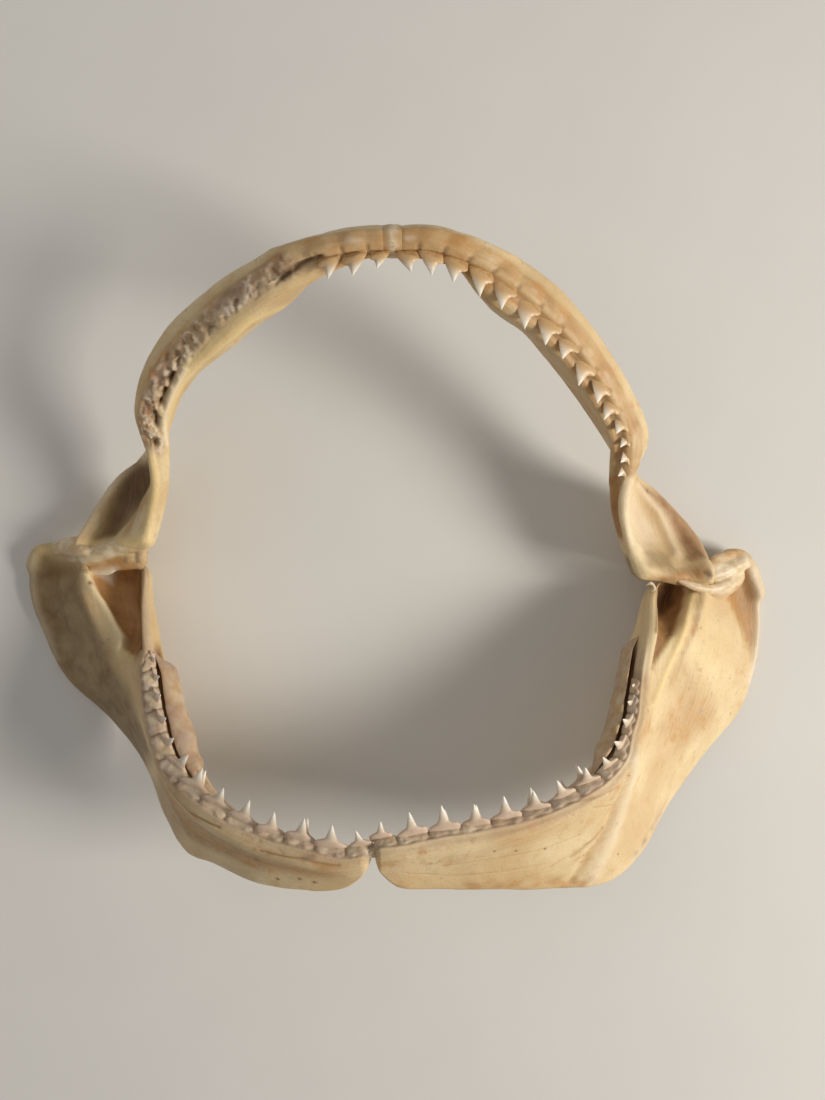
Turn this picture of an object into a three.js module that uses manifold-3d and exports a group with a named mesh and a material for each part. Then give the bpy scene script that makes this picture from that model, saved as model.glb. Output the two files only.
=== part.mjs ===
// A requiem shark's jaw, dried with the mouth held wide open, lying on its back with the teeth upwards.
// Millimetres, +Z up. +Y runs from the lower jaw to the upper, and +X to the animal's left.
import * as THREE from "three";
import { ConvexGeometry } from "three/addons/geometries/ConvexGeometry.js";
import { LoftGeometry } from "three/addons/geometries/LoftGeometry.js";
import { mergeVertices } from "three/addons/utils/BufferGeometryUtils.js";
import Module from "manifold-3d";

const wasm = await Module();
wasm.setup();

// Stations run from the symphysis to the hinge. A row is x, y, z of the tooth edge, then of the back edge,
// then how far the labial and the lingual face stand off just behind the tooth edge.
const UPPER_LEFT = [
  [-2.8, 120.1, 100, -3.2, 127.5, 91, 5.2, 6],
  [10.7, 120.5, 100, 11.5, 127.8, 89, 6.3, 7],
  [24.8, 117.3, 98, 26, 123.2, 80, 9, 9],
  [38.9, 111.7, 94, 38.7, 106.5, 72, 14.5, 11],
  [52.5, 103.6, 88, 51.7, 99.4, 66, 15, 9.8],
  [65.5, 93.9, 81, 62, 90, 59, 15, 8],
  [77.6, 82.4, 73, 73.6, 78.7, 51, 15, 7.8],
  [88.5, 69.4, 65, 86.2, 64.8, 43, 14.5, 7.8],
  [96.3, 56.5, 57, 96.1, 54.8, 34, 12, 7.5],
  [97.4, 42.9, 50, 104.9, 43.4, 24, 6.2, 6.5],
  [96.3, 29.1, 43, 121, 34.4, 15, 4, 5],
  [100, 12.8, 38, 138.4, 17.3, 11, 3.5, 4.5],
  [106.8, -3.8, 35, 146.9, -5.9, 20, 5.5, 5.5],
];
const UPPER_RIGHT = [
  [-3.5, 120.1, 100, -3.9, 127.5, 91, 5.6, 6],
  [-17.4, 119.3, 100, -19.4, 126.5, 89, 5.8, 7],
  [-31.4, 116.9, 98, -34.9, 121.4, 80, 8, 9],
  [-45.4, 112.4, 94, -47.4, 105.7, 72, 13.5, 8.5],
  [-60, 105.2, 88, -61.1, 97.9, 66, 15, 10.5],
  [-73.6, 96.4, 81, -73.7, 89.1, 59, 16.5, 10.5],
  [-86.2, 85.8, 73, -86.9, 81.1, 51, 16, 8.5],
  [-96.8, 74.1, 65, -97.1, 71.8, 43, 13.5, 6.6],
  [-103.9, 61, 57, -103.8, 60.7, 34, 10, 6],
  [-104.5, 46.6, 50, -113.7, 47.3, 24, 5, 6.3],
  [-102.9, 32.2, 43, -132.5, 36.5, 15, 4, 5],
  [-105.6, 18.4, 38, -144, 20.7, 11, 3.5, 4.5],
  [-108.2, 3.4, 35, -143.6, -1.7, 20, 5.5, 5.5],
];
const LOWER_LEFT = [
  [-4.1, -104.8, 94, -3.6, -115.8, 88, 5, 4.5],
  [5.6, -103.7, 94, 5.3, -125.1, 83, 6, 8],
  [20.9, -101.6, 92, 22, -126.8, 79, 6.5, 9.5],
  [40.2, -98.8, 89, 43.4, -127.9, 75, 6.5, 11],
  [60.1, -93.8, 84, 66.6, -130, 67, 6.5, 12],
  [78.6, -85.3, 78, 91.9, -131.6, 53, 6.5, 12],
  [91.1, -76.7, 72, 110.2, -123.3, 37, 6, 11.5],
  [97.6, -65.3, 65, 126, -104, 23, 5.5, 12.5],
  [101.5, -52.8, 57, 144.9, -84.2, 11, 5, 12.5],
  [105, -38.9, 49, 163.7, -64.3, 3.5, 4.5, 12],
  [109.1, -24.9, 41, 171.3, -39.2, 1.5, 4, 9],
  [111.8, -13.1, 32, 172, -13, 1.5, 3.5, 6.5],
  [115.3, -6.6, 24, 162.7, 9.1, 4.5, 5, 5],
];
const LOWER_RIGHT = [
  [-5.7, -107.1, 94, -5.1, -115.9, 88, 5, 4.5],
  [-17.2, -109.3, 93, -15.9, -127.7, 77, 6, 8],
  [-30.8, -107.6, 91, -34.4, -130.7, 71, 6.5, 9.5],
  [-44.8, -105.4, 88, -53.8, -130.3, 64, 6.5, 11],
  [-59.2, -101, 84, -72.2, -127.3, 53, 6.5, 11.5],
  [-71.8, -94.8, 79, -85.7, -126, 42, 6.5, 11],
  [-82.5, -88.2, 73, -97.7, -113.9, 30, 6, 11],
  [-90.4, -78.4, 67, -107, -98, 22, 5.5, 12.5],
  [-95.5, -67.3, 61, -120, -85, 11, 5, 13],
  [-99.7, -55.9, 54, -136, -72.8, 3, 4.5, 12.5],
  [-102.9, -44, 48, -153.8, -58.2, 2, 4.5, 9.5],
  [-105.6, -31.8, 41, -165, -39.1, 1.5, 4, 7],
  [-109, -19.2, 33, -172.8, -15.5, 1.5, 3.5, 5.5],
  [-111.8, -4.4, 24, -167.5, 5.6, 4.5, 5, 5],
];

// The dried ligaments run through these points, over the seams between the halves.
const UPPER_SEAM = [[-3.2, 130, 89], [-3.2, 128.3, 95], [-3.2, 123, 99.6], [-3.2, 116.5, 99.6]];
const LOWER_SEAM = [[-4.6, -105.5, 91], [-4.6, -108, 94.5], [-4.6, -111.5, 93], [-4.6, -114.5, 89]];
const HINGE_LEFT = [[135.4, -12, 17], [145.4, -11, 22], [153.4, -2, 21], [159.4, 8, 13]];
const HINGE_RIGHT = [[-111.6, -4, 26], [-124.6, -4, 25], [-139.6, -2, 22], [-151.6, 7, 15]];

// What the two sides share. A profile is [station, value] pairs.
// A hollow deepens, or a ridge rises, from one station on to the hinge. Its place and its width are shares
// of the blade's depth, at its start and at the hinge.
const UPPER = {
  crest: 7, // how far down the blade its tooth edge takes to reach full thickness
  fade: 24, // how far down the tooth edge's thickness thins out to the back edge's
  back: [[0, 3], [2, 4.5], [8, 4], [10, 2.8], [12, 4.5]], // half the thickness at the back edge
  bow: [[0, 0], [8, 0], [9.5, -3], [11, -6], [12, -1]], // over the whole depth, lingual below 0
  hollows: [
    { start: 9.2, at: [0.55, 0.66], width: [0.16, 0.2], rise: -3.5 }, // dish behind the jaw's corner
    { start: 9.6, at: [0.84, 0.88], width: [0.08, 0.07], rise: 2.2 }, // rim outside it
  ],
  pitch: [[0, 9.7], [7, 12.1], [14, 6.8]],
  crown: [[0, 8.6], [5, 12], [8, 11.4], [14, 3.6]],
  crownWidth: [[0, 0.74], [1, 0.84], [14, 0.84]], // of the pitch
  crownThick: 3,
  lean: [[0, 4], [4, 20], [14, 28]], // degrees towards the hinge
  rise: [[0, 14], [14, 24]], // degrees up from level
  set: [[0, 1.5], [4, 0], [9, -2]], // how far inside the edge the crown starts
};
const LOWER = {
  crest: 7,
  fade: 20,
  back: [[0, 3.5], [4, 3], [8, 2.6], [11, 2.8], [12, 5]],
  bow: [[0, 0], [5, 1], [9, 1.5], [12, 0]],
  hollows: [
    { start: 9.6, at: [0.13, 0.26], width: [0.03, 0.15], rise: -8.5 }, // pocket for the jaw muscle
    { start: 9, at: [0.27, 0.5], width: [0.07, 0.07], rise: 3.2 }, // ridge outside it
    { start: 9.6, at: [0.8, 0.86], width: [0.1, 0.1], rise: -1.6 },
  ],
  pitch: [[0, 12.2], [5, 12.6], [9, 10.6], [13, 7]],
  crown: [[0, 6.5], [1, 9.6], [5, 10], [9, 8], [13, 4]],
  crownWidth: [[0, 0.3], [1, 0.7], [13, 0.7]],
  crownThick: 3,
  lean: [[0, 0], [13, 8]],
  rise: [[0, 24], [6, 30], [9, 58], [13, 62]],
  set: [[0, 1], [13, -1]],
};
const SIDE_POINTS = 10; // down each face of a section
const SECTION_GAP = 7.6; // along a blade, between sections
const END_SHOULDER = 5; // how far from an end its corners start to round
const NEAR_END = [0.02, 0.15, 0.45, 0.8]; // sections close to an end, as shares of its shoulder
const END_SHARE = 0.55; // of its full thickness, how much a blade keeps at its very end
const END_CORNER = 4; // how far an end's corners are drawn in
const CROWN_SIDES = 6;
const ROOT = 4; // how far a crown's root reaches into the blade
const CORD_STEPS = 9;
const CORD_SIDES = 8;
const GAP = 0.45; // between neighbouring pieces

const vector = (x, y, z) => new THREE.Vector3(x, y, z);
const clamp01 = (x) => Math.min(1, Math.max(0, x));
const smooth = (x) => clamp01(x) ** 2 * (3 - 2 * clamp01(x));
const bell = (x) => Math.exp(-x * x);
const quarterRound = (x) => Math.sqrt(1 - (1 - clamp01(x)) ** 2);
const radians = THREE.MathUtils.degToRad;

// A profile's value at a station.
function along(profile, station) {
  const next = profile.findIndex(([at]) => at >= station);
  if (next <= 0) return profile.at(next)[1];
  const [a, low] = profile[next - 1];
  const [b, high] = profile[next];
  return low + (high - low) * smooth((station - a) / (b - a));
}

function rail(rows, from) {
  const points = rows.map((row) => vector(...row.slice(from, from + 3)));
  return new THREE.CatmullRomCurve3(points, false, "catmullrom", 0.5);
}

// A half's blade, lofted from the symphysis to the hinge and grown all round by the given amount.
// side is 1 where the labial face is on the right of a walk to the hinge, teeth up, and -1 on the left.
function blade(rows, kind, side, grow) {
  const edge = rail(rows, 0);
  const back = rail(rows, 3);
  const last = rows.length - 1;
  const length = edge.getLength();
  const steps = Math.round(length / SECTION_GAP);
  const nearStart = NEAR_END.map((share) => (share * END_SHOULDER) / length);
  const places = [...nearStart];
  for (let i = 1; i < steps; i++) places.push(i / steps);
  places.push(...nearStart.map((t) => 1 - t).reverse());
  const sections = [];
  places.forEach((t, index) => {
    const station = t * last;
    const down = back.getPoint(t).sub(edge.getPoint(t));
    const depth = down.length();
    down.normalize();
    const forward = edge.getTangent(t).add(back.getTangent(t)).normalize();
    const labial = forward.clone().cross(down).normalize().multiplyScalar(side);
    const [front, rear] = [rows[Math.floor(station)], rows[Math.min(last, Math.floor(station) + 1)]];
    const stand = [6, 7].map((column) => THREE.MathUtils.lerp(front[column], rear[column], station % 1));
    const thin = along(kind.back, station);
    const shoulder = quarterRound((Math.min(t, 1 - t) * length) / END_SHOULDER);
    const inset = (1 - shoulder) * END_CORNER - grow;
    const end = index === 0 ? -grow : index === places.length - 1 ? grow : 0;
    const start = edge.getPoint(t).addScaledVector(forward, end);
    const point = (q, face) => {
      const deep = inset + q * (depth - 2 * inset);
      const near = 1 - smooth(deep / kind.fade);
      const full = thin + (stand[face > 0 ? 0 : 1] - thin) * near;
      const crest = Math.min(kind.crest, stand[0]) + grow;
      const rounded = quarterRound((deep + grow - Math.max(inset, 0)) / crest) *
        quarterRound((depth + grow - deep - Math.max(inset, 0)) / (thin + grow));
      let offset = face * (full * (END_SHARE + (1 - END_SHARE) * shoulder) + grow) * rounded;
      offset += along(kind.bow, station) * 4 * (deep / depth) * (1 - deep / depth);
      for (const { start: begins, at, width, rise } of kind.hollows) {
        const grown = clamp01((station - begins) / (last - begins));
        const [middle, spread] = [at, width].map((pair) => THREE.MathUtils.lerp(...pair, grown));
        const away = (deep / depth - middle) / spread;
        offset += rise * smooth(grown * 1.6) * bell(away);
      }
      return start.clone().addScaledVector(down, deep).addScaledVector(labial, offset);
    };
    const shareDown = (j) => (1 - Math.cos((Math.PI * j) / SIDE_POINTS)) / 2;
    const ring = [];
    for (let j = 0; j <= SIDE_POINTS; j++) ring.push(point(shareDown(j), 1));
    for (let j = SIDE_POINTS - 1; j > 0; j--) ring.push(point(shareDown(j), -1));
    if (side > 0) ring.reverse();
    sections.push(ring);
  });
  return solidOf(new LoftGeometry(sections, { capStart: true, capEnd: true }));
}

// A row of crowns, each a cusp on a broader root, set into the tooth edge.
function teeth(rows, kind, { start, shares }, grow) {
  const edge = rail(rows, 0);
  const length = edge.getLength();
  const up = vector(0, 0, 1);
  const crowns = [];
  let place = start;
  for (let k = 0; k < shares.length; k++) {
    const pitch = along(kind.pitch, k);
    place += pitch / 2;
    if (shares[k] > 0) {
      const t = place / length;
      const forward = edge.getTangentAt(t);
      const level = vector(forward.x, forward.y, 0).normalize();
      const inward = vector(level.y, -level.x, 0);
      if (inward.dot(edge.getPointAt(t)) > 0) inward.negate();
      const rise = radians(along(kind.rise, k));
      const erect = inward.multiplyScalar(Math.cos(rise)).addScaledVector(up, Math.sin(rise));
      const lean = radians(along(kind.lean, k));
      const axis = erect.clone().multiplyScalar(Math.cos(lean)).addScaledVector(level, Math.sin(lean));
      const across = vector().crossVectors(level, erect).normalize();
      const tall = along(kind.crown, k) * shares[k] + grow;
      const wide = (along(kind.crownWidth, k) * pitch) / 2 + grow;
      const thick = kind.crownThick / 2 + grow;
      const foot = edge.getPointAt(t).addScaledVector(erect, along(kind.set, k));
      const shape = [];
      for (const [height, halfWidth, halfThick] of [[-ROOT, 1, 1], [0, 1, 1], [0.5 * tall, 0.5, 0.7]])
        for (let corner = 0; corner < CROWN_SIDES; corner++) {
          const turn = (2 * Math.PI * corner) / CROWN_SIDES;
          shape.push(foot.clone()
            .addScaledVector(height > 0 ? axis : erect, height)
            .addScaledVector(level, Math.cos(turn) * halfWidth * wide)
            .addScaledVector(across, Math.sin(turn) * halfThick * thick));
        }
      shape.push(foot.clone().addScaledVector(axis, tall));
      crowns.push(solidOf(new ConvexGeometry(shape)));
    }
    place += pitch / 2;
  }
  return wasm.Manifold.union(crowns);
}

// Dried ligament: an uneven cord through the given points, with the given radii.
function cord(points, radii) {
  const curve = new THREE.CatmullRomCurve3(points.map((point) => vector(...point)));
  const sections = [];
  for (let i = 0; i <= CORD_STEPS; i++) {
    const t = i / CORD_STEPS;
    const forward = curve.getTangent(t);
    const u = vector(0, 0, 1).addScaledVector(forward, -forward.z).normalize();
    const v = forward.clone().cross(u);
    const slot = t * (radii.length - 1);
    const low = radii[Math.floor(slot)];
    const high = radii[Math.min(radii.length - 1, Math.floor(slot) + 1)];
    const rounded = 0.3 + 0.7 * quarterRound(Math.min(t, 1 - t) * 6);
    const radius = THREE.MathUtils.lerp(low, high, slot % 1) * rounded;
    const ring = [];
    for (let j = 0; j < CORD_SIDES; j++) {
      const turn = (2 * Math.PI * j) / CORD_SIDES;
      const out = u.clone().multiplyScalar(Math.cos(turn)).addScaledVector(v, Math.sin(turn));
      ring.push(curve.getPoint(t).addScaledVector(out, radius));
    }
    sections.push(ring);
  }
  return solidOf(new LoftGeometry(sections, { capStart: true, capEnd: true }));
}

function solidOf(geometry) {
  const bare = new THREE.BufferGeometry().copy(geometry);
  bare.deleteAttribute("normal");
  bare.deleteAttribute("uv");
  const merged = mergeVertices(bare, 1e-4);
  return new wasm.Manifold(new wasm.Mesh({
    numProp: 3,
    vertProperties: new Float32Array(merged.attributes.position.array),
    triVerts: new Uint32Array(merged.index.array),
  }));
}

function meshOf(name, solid, material) {
  const { numProp, vertProperties, triVerts } = solid.getMesh();
  const geometry = new THREE.BufferGeometry();
  geometry.setAttribute("position", new THREE.BufferAttribute(vertProperties, numProp));
  geometry.setIndex(new THREE.BufferAttribute(triVerts, 1));
  geometry.computeVertexNormals();
  const mesh = new THREE.Mesh(geometry, material);
  mesh.name = name;
  return mesh;
}

// Where a row starts along the tooth edge, and the share of its full height that each crown keeps.
// The animal's upper right row lost all but its first few.
const UPPER_LEFT_ROW = { start: -0.4, shares: Array(15).fill(1) };
const UPPER_RIGHT_ROW = { start: -0.4, shares: [0.8, 1, 1, 0, 0.3, 0, 0, 0.3, 0.25, 0, 0.3] };
const LOWER_LEFT_ROW = { start: -3.6, shares: Array(13).fill(1) };
const LOWER_RIGHT_ROW = { start: -2.8, shares: Array(13).fill(1) };

function half(rows, kind, side, row, grow) {
  return blade(rows, kind, side, grow).add(teeth(rows, kind, row, grow));
}

function halvesGrown(grow) {
  return {
    upper_jaw_left: half(UPPER_LEFT, UPPER, 1, UPPER_LEFT_ROW, grow),
    upper_jaw_right: half(UPPER_RIGHT, UPPER, -1, UPPER_RIGHT_ROW, grow),
    lower_jaw_left: half(LOWER_LEFT, LOWER, -1, LOWER_LEFT_ROW, grow),
    lower_jaw_right: half(LOWER_RIGHT, LOWER, 1, LOWER_RIGHT_ROW, grow),
  };
}
const rooms = halvesGrown(GAP);
const halves = halvesGrown(0);
for (const side of ["left", "right"]) // the upper half's end sits in a socket in the lower one
  halves["lower_jaw_" + side] = halves["lower_jaw_" + side].subtract(rooms["upper_jaw_" + side]);

const biggestBody = (solid) => solid.decompose().sort((a, b) => b.volume() - a.volume())[0];
const cutBy = (solid, rooms) => biggestBody(rooms.reduce((rest, room) => rest.subtract(room), solid));
const ligaments = {
  upper_symphysis: cutBy(cord(UPPER_SEAM, [2, 2.8, 2.8, 2]), [rooms.upper_jaw_left, rooms.upper_jaw_right]),
  lower_symphysis: cutBy(cord(LOWER_SEAM, [2, 3.2, 3.2, 2.4]), [rooms.lower_jaw_left, rooms.lower_jaw_right]),
  hinge_left: cutBy(cord(HINGE_LEFT, [3.4, 4.6, 5, 3.6]), [rooms.upper_jaw_left, rooms.lower_jaw_left]),
  hinge_right: cutBy(cord(HINGE_RIGHT, [3.4, 4.6, 5, 3.6]), [rooms.upper_jaw_right, rooms.lower_jaw_right]),
};
const cartilage = new THREE.MeshStandardMaterial({ color: 0xd9bf8e, roughness: 0.55, metalness: 0 });
const ligament = new THREE.MeshStandardMaterial({ color: 0xe8d9b8, roughness: 0.4, metalness: 0 });

const jaw = new THREE.Group();
for (const [name, solid] of Object.entries(halves))
  jaw.add(meshOf(name, solid.trimByPlane([0, 0, 1], 0), cartilage)); // its lowest edge is cut flat at the floor
for (const [name, solid] of Object.entries(ligaments)) jaw.add(meshOf(name, solid, ligament));
export default jaw;
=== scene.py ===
import math

import bmesh
import bpy
import numpy as np
from mathutils import Matrix, Vector


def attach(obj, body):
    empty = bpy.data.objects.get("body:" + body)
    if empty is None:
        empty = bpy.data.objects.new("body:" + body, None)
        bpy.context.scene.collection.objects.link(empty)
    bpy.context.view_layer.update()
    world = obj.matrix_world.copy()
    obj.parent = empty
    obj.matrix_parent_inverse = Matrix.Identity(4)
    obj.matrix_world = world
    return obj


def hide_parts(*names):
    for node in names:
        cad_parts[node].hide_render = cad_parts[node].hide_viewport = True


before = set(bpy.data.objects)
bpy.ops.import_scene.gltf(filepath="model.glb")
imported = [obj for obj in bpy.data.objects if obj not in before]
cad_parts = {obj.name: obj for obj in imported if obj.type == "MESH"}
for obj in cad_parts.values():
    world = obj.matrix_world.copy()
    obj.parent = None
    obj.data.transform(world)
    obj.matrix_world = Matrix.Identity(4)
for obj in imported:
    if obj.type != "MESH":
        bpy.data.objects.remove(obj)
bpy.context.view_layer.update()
print("frame loaded:", ", ".join(sorted(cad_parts)))

# Everything is laid out in millimetres, upwards from the floor, and becomes metres where a mesh is made.
metre = 0.001


def smooth(x):
    x = np.clip(x, 0, 1)
    return x * x * (3 - 2 * x)


def bell(x):
    return np.exp(-np.square(x))


def quarterRound(x):
    return np.sqrt(1 - (1 - np.clip(x, 0, 1)) ** 2)


def between(x, low, high, soft):  # 1 from low to high, fading over soft
    return smooth((x - low) / soft + 0.5) * smooth((high - x) / soft + 0.5)


def along(profile, at):  # the value of [place, value] pairs at a place, eased from one to the next
    places, values = np.array(profile, float).T
    k = np.clip(np.searchsorted(places, at, side="right") - 1, 0, len(places) - 2)
    return values[k] + (values[k + 1] - values[k]) * smooth((at - places[k]) / (places[k + 1] - places[k]))


def unit(v):
    return v / np.maximum(np.linalg.norm(v, axis=-1, keepdims=True), 1e-9)


def rail(points, t):  # a smooth line through points, t from 0 to 1
    points = np.asarray(points, float)
    padded = np.vstack([2 * points[0] - points[1], points, 2 * points[-1] - points[-2]])
    slot = np.clip(t, 0, 1) * (len(points) - 1)
    k = np.minimum(slot.astype(int), len(points) - 2)
    w = (slot - k)[:, None]
    before, start, end, after = (padded[k + n] for n in range(4))
    leave, arrive = (end - before) / 2, (after - start) / 2
    return ((2 * w**3 - 3 * w**2 + 1) * start + (w**3 - 2 * w**2 + w) * leave
            + (3 * w**2 - 2 * w**3) * end + (w**3 - w**2) * arrive)


lumpHash = {"axes": (73856093, 19349663, 83492791), "seed": 6271, "stir": 1274126177, "step": 7.31}


def lumps(points, size, seed=0):  # smooth unevenness from -1 to 1, in lumps of about this size
    cell = points / size + seed * lumpHash["step"]
    corner = np.floor(cell).astype(np.int64)
    part = cell - corner
    part = part * part * (3 - 2 * part)
    total = 0
    for step in np.ndindex(2, 2, 2):
        x, y, z = np.moveaxis((corner + step) * lumpHash["axes"], -1, 0)
        mixed = x ^ y ^ z ^ (seed * lumpHash["seed"])
        mixed = (mixed ^ (mixed >> 13)) * lumpHash["stir"]
        value = ((mixed ^ (mixed >> 16)) & 0xFFFF) / 32767.5 - 1
        total = total + value * np.prod(np.where(step, part, 1 - part), axis=-1)
    return total


def roughLumps(points, size, seed=0):  # the same with two finer sizes on top
    return (lumps(points, size, seed) + 0.5 * lumps(points, size / 2.1, seed + 1)
            + 0.25 * lumps(points, size / 4.3, seed + 2)) / 1.4


meshing = {"merge": 2e-6, "sliver": 1e-7}  # in metres


def makeMesh(name, points, faces, paint=None):
    mesh = bpy.data.meshes.new(name)
    mesh.from_pydata((np.asarray(points) * metre).tolist(), [], [list(f) for f in faces])
    for key, values in (paint or {}).items():
        layer = mesh.attributes.new(key, "FLOAT", "POINT")
        layer.data.foreach_set("value", np.ravel(values).astype(np.float32))
    shape = bmesh.new()
    shape.from_mesh(mesh)
    bmesh.ops.remove_doubles(shape, verts=shape.verts, dist=meshing["merge"])
    bmesh.ops.dissolve_degenerate(shape, edges=shape.edges, dist=meshing["sliver"])
    bmesh.ops.recalc_face_normals(shape, faces=shape.faces)
    shape.to_mesh(mesh)
    shape.free()
    mesh.shade_smooth()
    piece = bpy.data.objects.new(name, mesh)
    bpy.context.scene.collection.objects.link(piece)
    return piece


def tubeFaces(rows, sides, closeEnds=True):  # quads over a grid that is closed round each row
    faces = []
    for i in range(rows - 1):
        here, there = i * sides, (i + 1) * sides
        for j in range(sides):
            k = (j + 1) % sides
            faces.append((here + j, here + k, there + k, there + j))
    if closeEnds:
        faces += [tuple(range(sides)), tuple(range((rows - 1) * sides, rows * sides))]
    return faces


def settle(piece):  # its modifiers become plain mesh
    seen = bpy.context.evaluated_depsgraph_get()
    mesh = bpy.data.meshes.new_from_object(piece.evaluated_get(seen))
    piece.modifiers.clear()
    old, piece.data = piece.data, mesh
    bpy.data.meshes.remove(old)
    return piece


def pointsOf(piece):
    places = np.empty(len(piece.data.vertices) * 3)
    piece.data.vertices.foreach_get("co", places)
    return places.reshape(-1, 3) / metre


def normalsOf(piece):
    normals = np.empty(len(piece.data.vertices) * 3)
    piece.data.vertices.foreach_get("normal", normals)
    return normals.reshape(-1, 3)


def movePoints(piece, points):
    piece.data.vertices.foreach_set("co", np.ravel(points * metre))
    piece.data.update()


def paint(piece, key, values):
    layer = piece.data.attributes.get(key) or piece.data.attributes.new(key, "FLOAT", "POINT")
    layer.data.foreach_set("value", np.ravel(values).astype(np.float32))


class Wire:
    def __init__(self, wiring, socket):
        self.wiring, self.socket = wiring, socket

    def reckon(self, operation, a, b):
        return self.wiring.node("ShaderNodeMath", {"operation": operation}, {0: a, 1: b})

    def __add__(self, other):
        return self.reckon("ADD", self, other)

    def __radd__(self, other):
        return self.reckon("ADD", other, self)

    def __sub__(self, other):
        return self.reckon("SUBTRACT", self, other)

    def __rsub__(self, other):
        return self.reckon("SUBTRACT", other, self)

    def __mul__(self, other):
        return self.reckon("MULTIPLY", self, other)

    def __rmul__(self, other):
        return self.reckon("MULTIPLY", other, self)


class Wiring:
    def __init__(self, tree):
        self.tree = tree

    def node(self, kind, settings=None, inputs=None, out=0):
        made = self.tree.nodes.new(kind)
        for key, value in (settings or {}).items():
            setattr(made, key, value)
        for key, value in (inputs or {}).items():
            if isinstance(value, Wire):
                self.tree.links.new(value.socket, made.inputs[key])
            else:
                made.inputs[key].default_value = value
        return Wire(self, made.outputs[out])


class Finish(Wiring):
    def __init__(self, name):
        self.material = bpy.data.materials.new(name)
        self.material.use_nodes = True
        super().__init__(self.material.node_tree)
        self.tree.nodes.clear()
        place = self.node("ShaderNodeTexCoord", out="Object")
        self.place = self.stretched(place, (1000, 1000, 1000))  # in millimetres

    def stretched(self, place, scale):
        return self.node("ShaderNodeMapping", {}, {"Vector": place, "Scale": scale})

    def painted(self, key):
        return self.node("ShaderNodeAttribute", {"attribute_name": key}, out="Fac")

    def cloud(self, size, detail=3.0, rough=0.55, place=None):
        inputs = {"Vector": place or self.place, "Scale": 1 / size, "Detail": detail, "Roughness": rough}
        return self.node("ShaderNodeTexNoise", {}, inputs, out="Fac")

    def cells(self, size):
        inputs = {"Vector": self.place, "Scale": 1 / size}
        return self.node("ShaderNodeTexVoronoi", {}, inputs, out="Distance")

    def ramp(self, value, low, high):  # 0 under low, 1 over high
        return self.node("ShaderNodeMapRange", {"interpolation_type": "SMOOTHSTEP"},
                         {"Value": value, "From Min": low, "From Max": high})

    def mix(self, share, a, b):
        return self.node("ShaderNodeMix", {"data_type": "RGBA"}, {0: share, 6: a, 7: b}, out=2)

    def shade(self, share, pair):  # from the first colour of a pair to the second
        return self.mix(share, tint(pair[0]), tint(pair[1]))

    def bump(self, height, depth, normal=None):  # depth in millimetres
        inputs = {"Height": height, "Distance": depth * metre, "Strength": 1.0}
        if normal:
            inputs["Normal"] = normal
        return self.node("ShaderNodeBump", {}, inputs)

    def close(self, fixed, **linked):  # constants go straight on the shader
        inputs = dict(fixed)
        inputs.update({key.replace("_", " "): value for key, value in linked.items()})
        shader = self.node("ShaderNodeBsdfPrincipled", {}, inputs)
        output = self.tree.nodes.new("ShaderNodeOutputMaterial")
        self.tree.links.new(shader.socket, output.inputs["Surface"])
        return self.material


def tint(code):  # a colour as it looks on screen, written in hex
    parts = [int(code[n:n + 2], 16) / 255 for n in (0, 2, 4)]
    return tuple(p / 12.92 if p <= 0.04045 else ((p + 0.055) / 1.055) ** 2.4 for p in parts) + (1,)


# Colours go from dark to pale where there are two. Sizes and depths are in millimetres, and ramps say
# between which values of a texture each effect fades in.
cartilageLook = {
    # olive and hollow are mostly painted shade, and cream and pale also carry painted highlights on crests,
    # ridges and rims
    "ivory": ("d9bb8b", "ead4a8"), "warm": ("a6743f", "c8975c"), "blotches": "9a6a38", "olive": "7b6239",
    "gum": ("9c8270", "cbb19e"), "cream": "f0d59a", "pale": "f2e5cf", "hollow": ("3c200d", "70431d"),
    "film": "8c6434", "specks": "3d2814",
    "broadSize": 30, "patchSize": 8, "grainSize": 1.1, "blotchSize": 5, "speckSize": 6.5,
    "poreSize": 0.75, "streakAlong": 0.05, "streakDown": 0.8,  # streaks per millimetre
    "ramps": {"ivory": (0.35, 0.68), "warm": (0.3, 0.7), "streaks": (0.45, 0.75), "patches": (0.48, 0.75),
              "blotches": (0.56, 0.72), "blotched": (0.42, 0.6), "olive": (0.3, 0.8), "gum": (0.35, 0.65),
              "hollow": (0.4, 0.65), "film": (0.45, 0.75), "specks": (0.07, 0.04), "specked": (0.52, 0.6)},
    "amberShare": 0.85, "streakShare": 0.22, "patchShare": 0.42, "blotchShare": 0.62, "filmShare": 0.14,
    "speckShare": 0.7, "oliveLeast": 0.7, "oliveMore": 0.3, "paleLeast": 0.75, "paleGrain": 0.4,
    "rough": 0.40, "roughGrain": 0.28, "roughGum": 0.1, "gloss": 0.22,
    "grainDepth": 0.09, "poreDepth": 0.05, "streakDepth": 0.22,
    "shader": {"Subsurface Weight": 0.08, "Subsurface Radius": (1.0, 0.5, 0.25),
               "Subsurface Scale": 0.0025, "IOR": 1.5},
}


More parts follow.
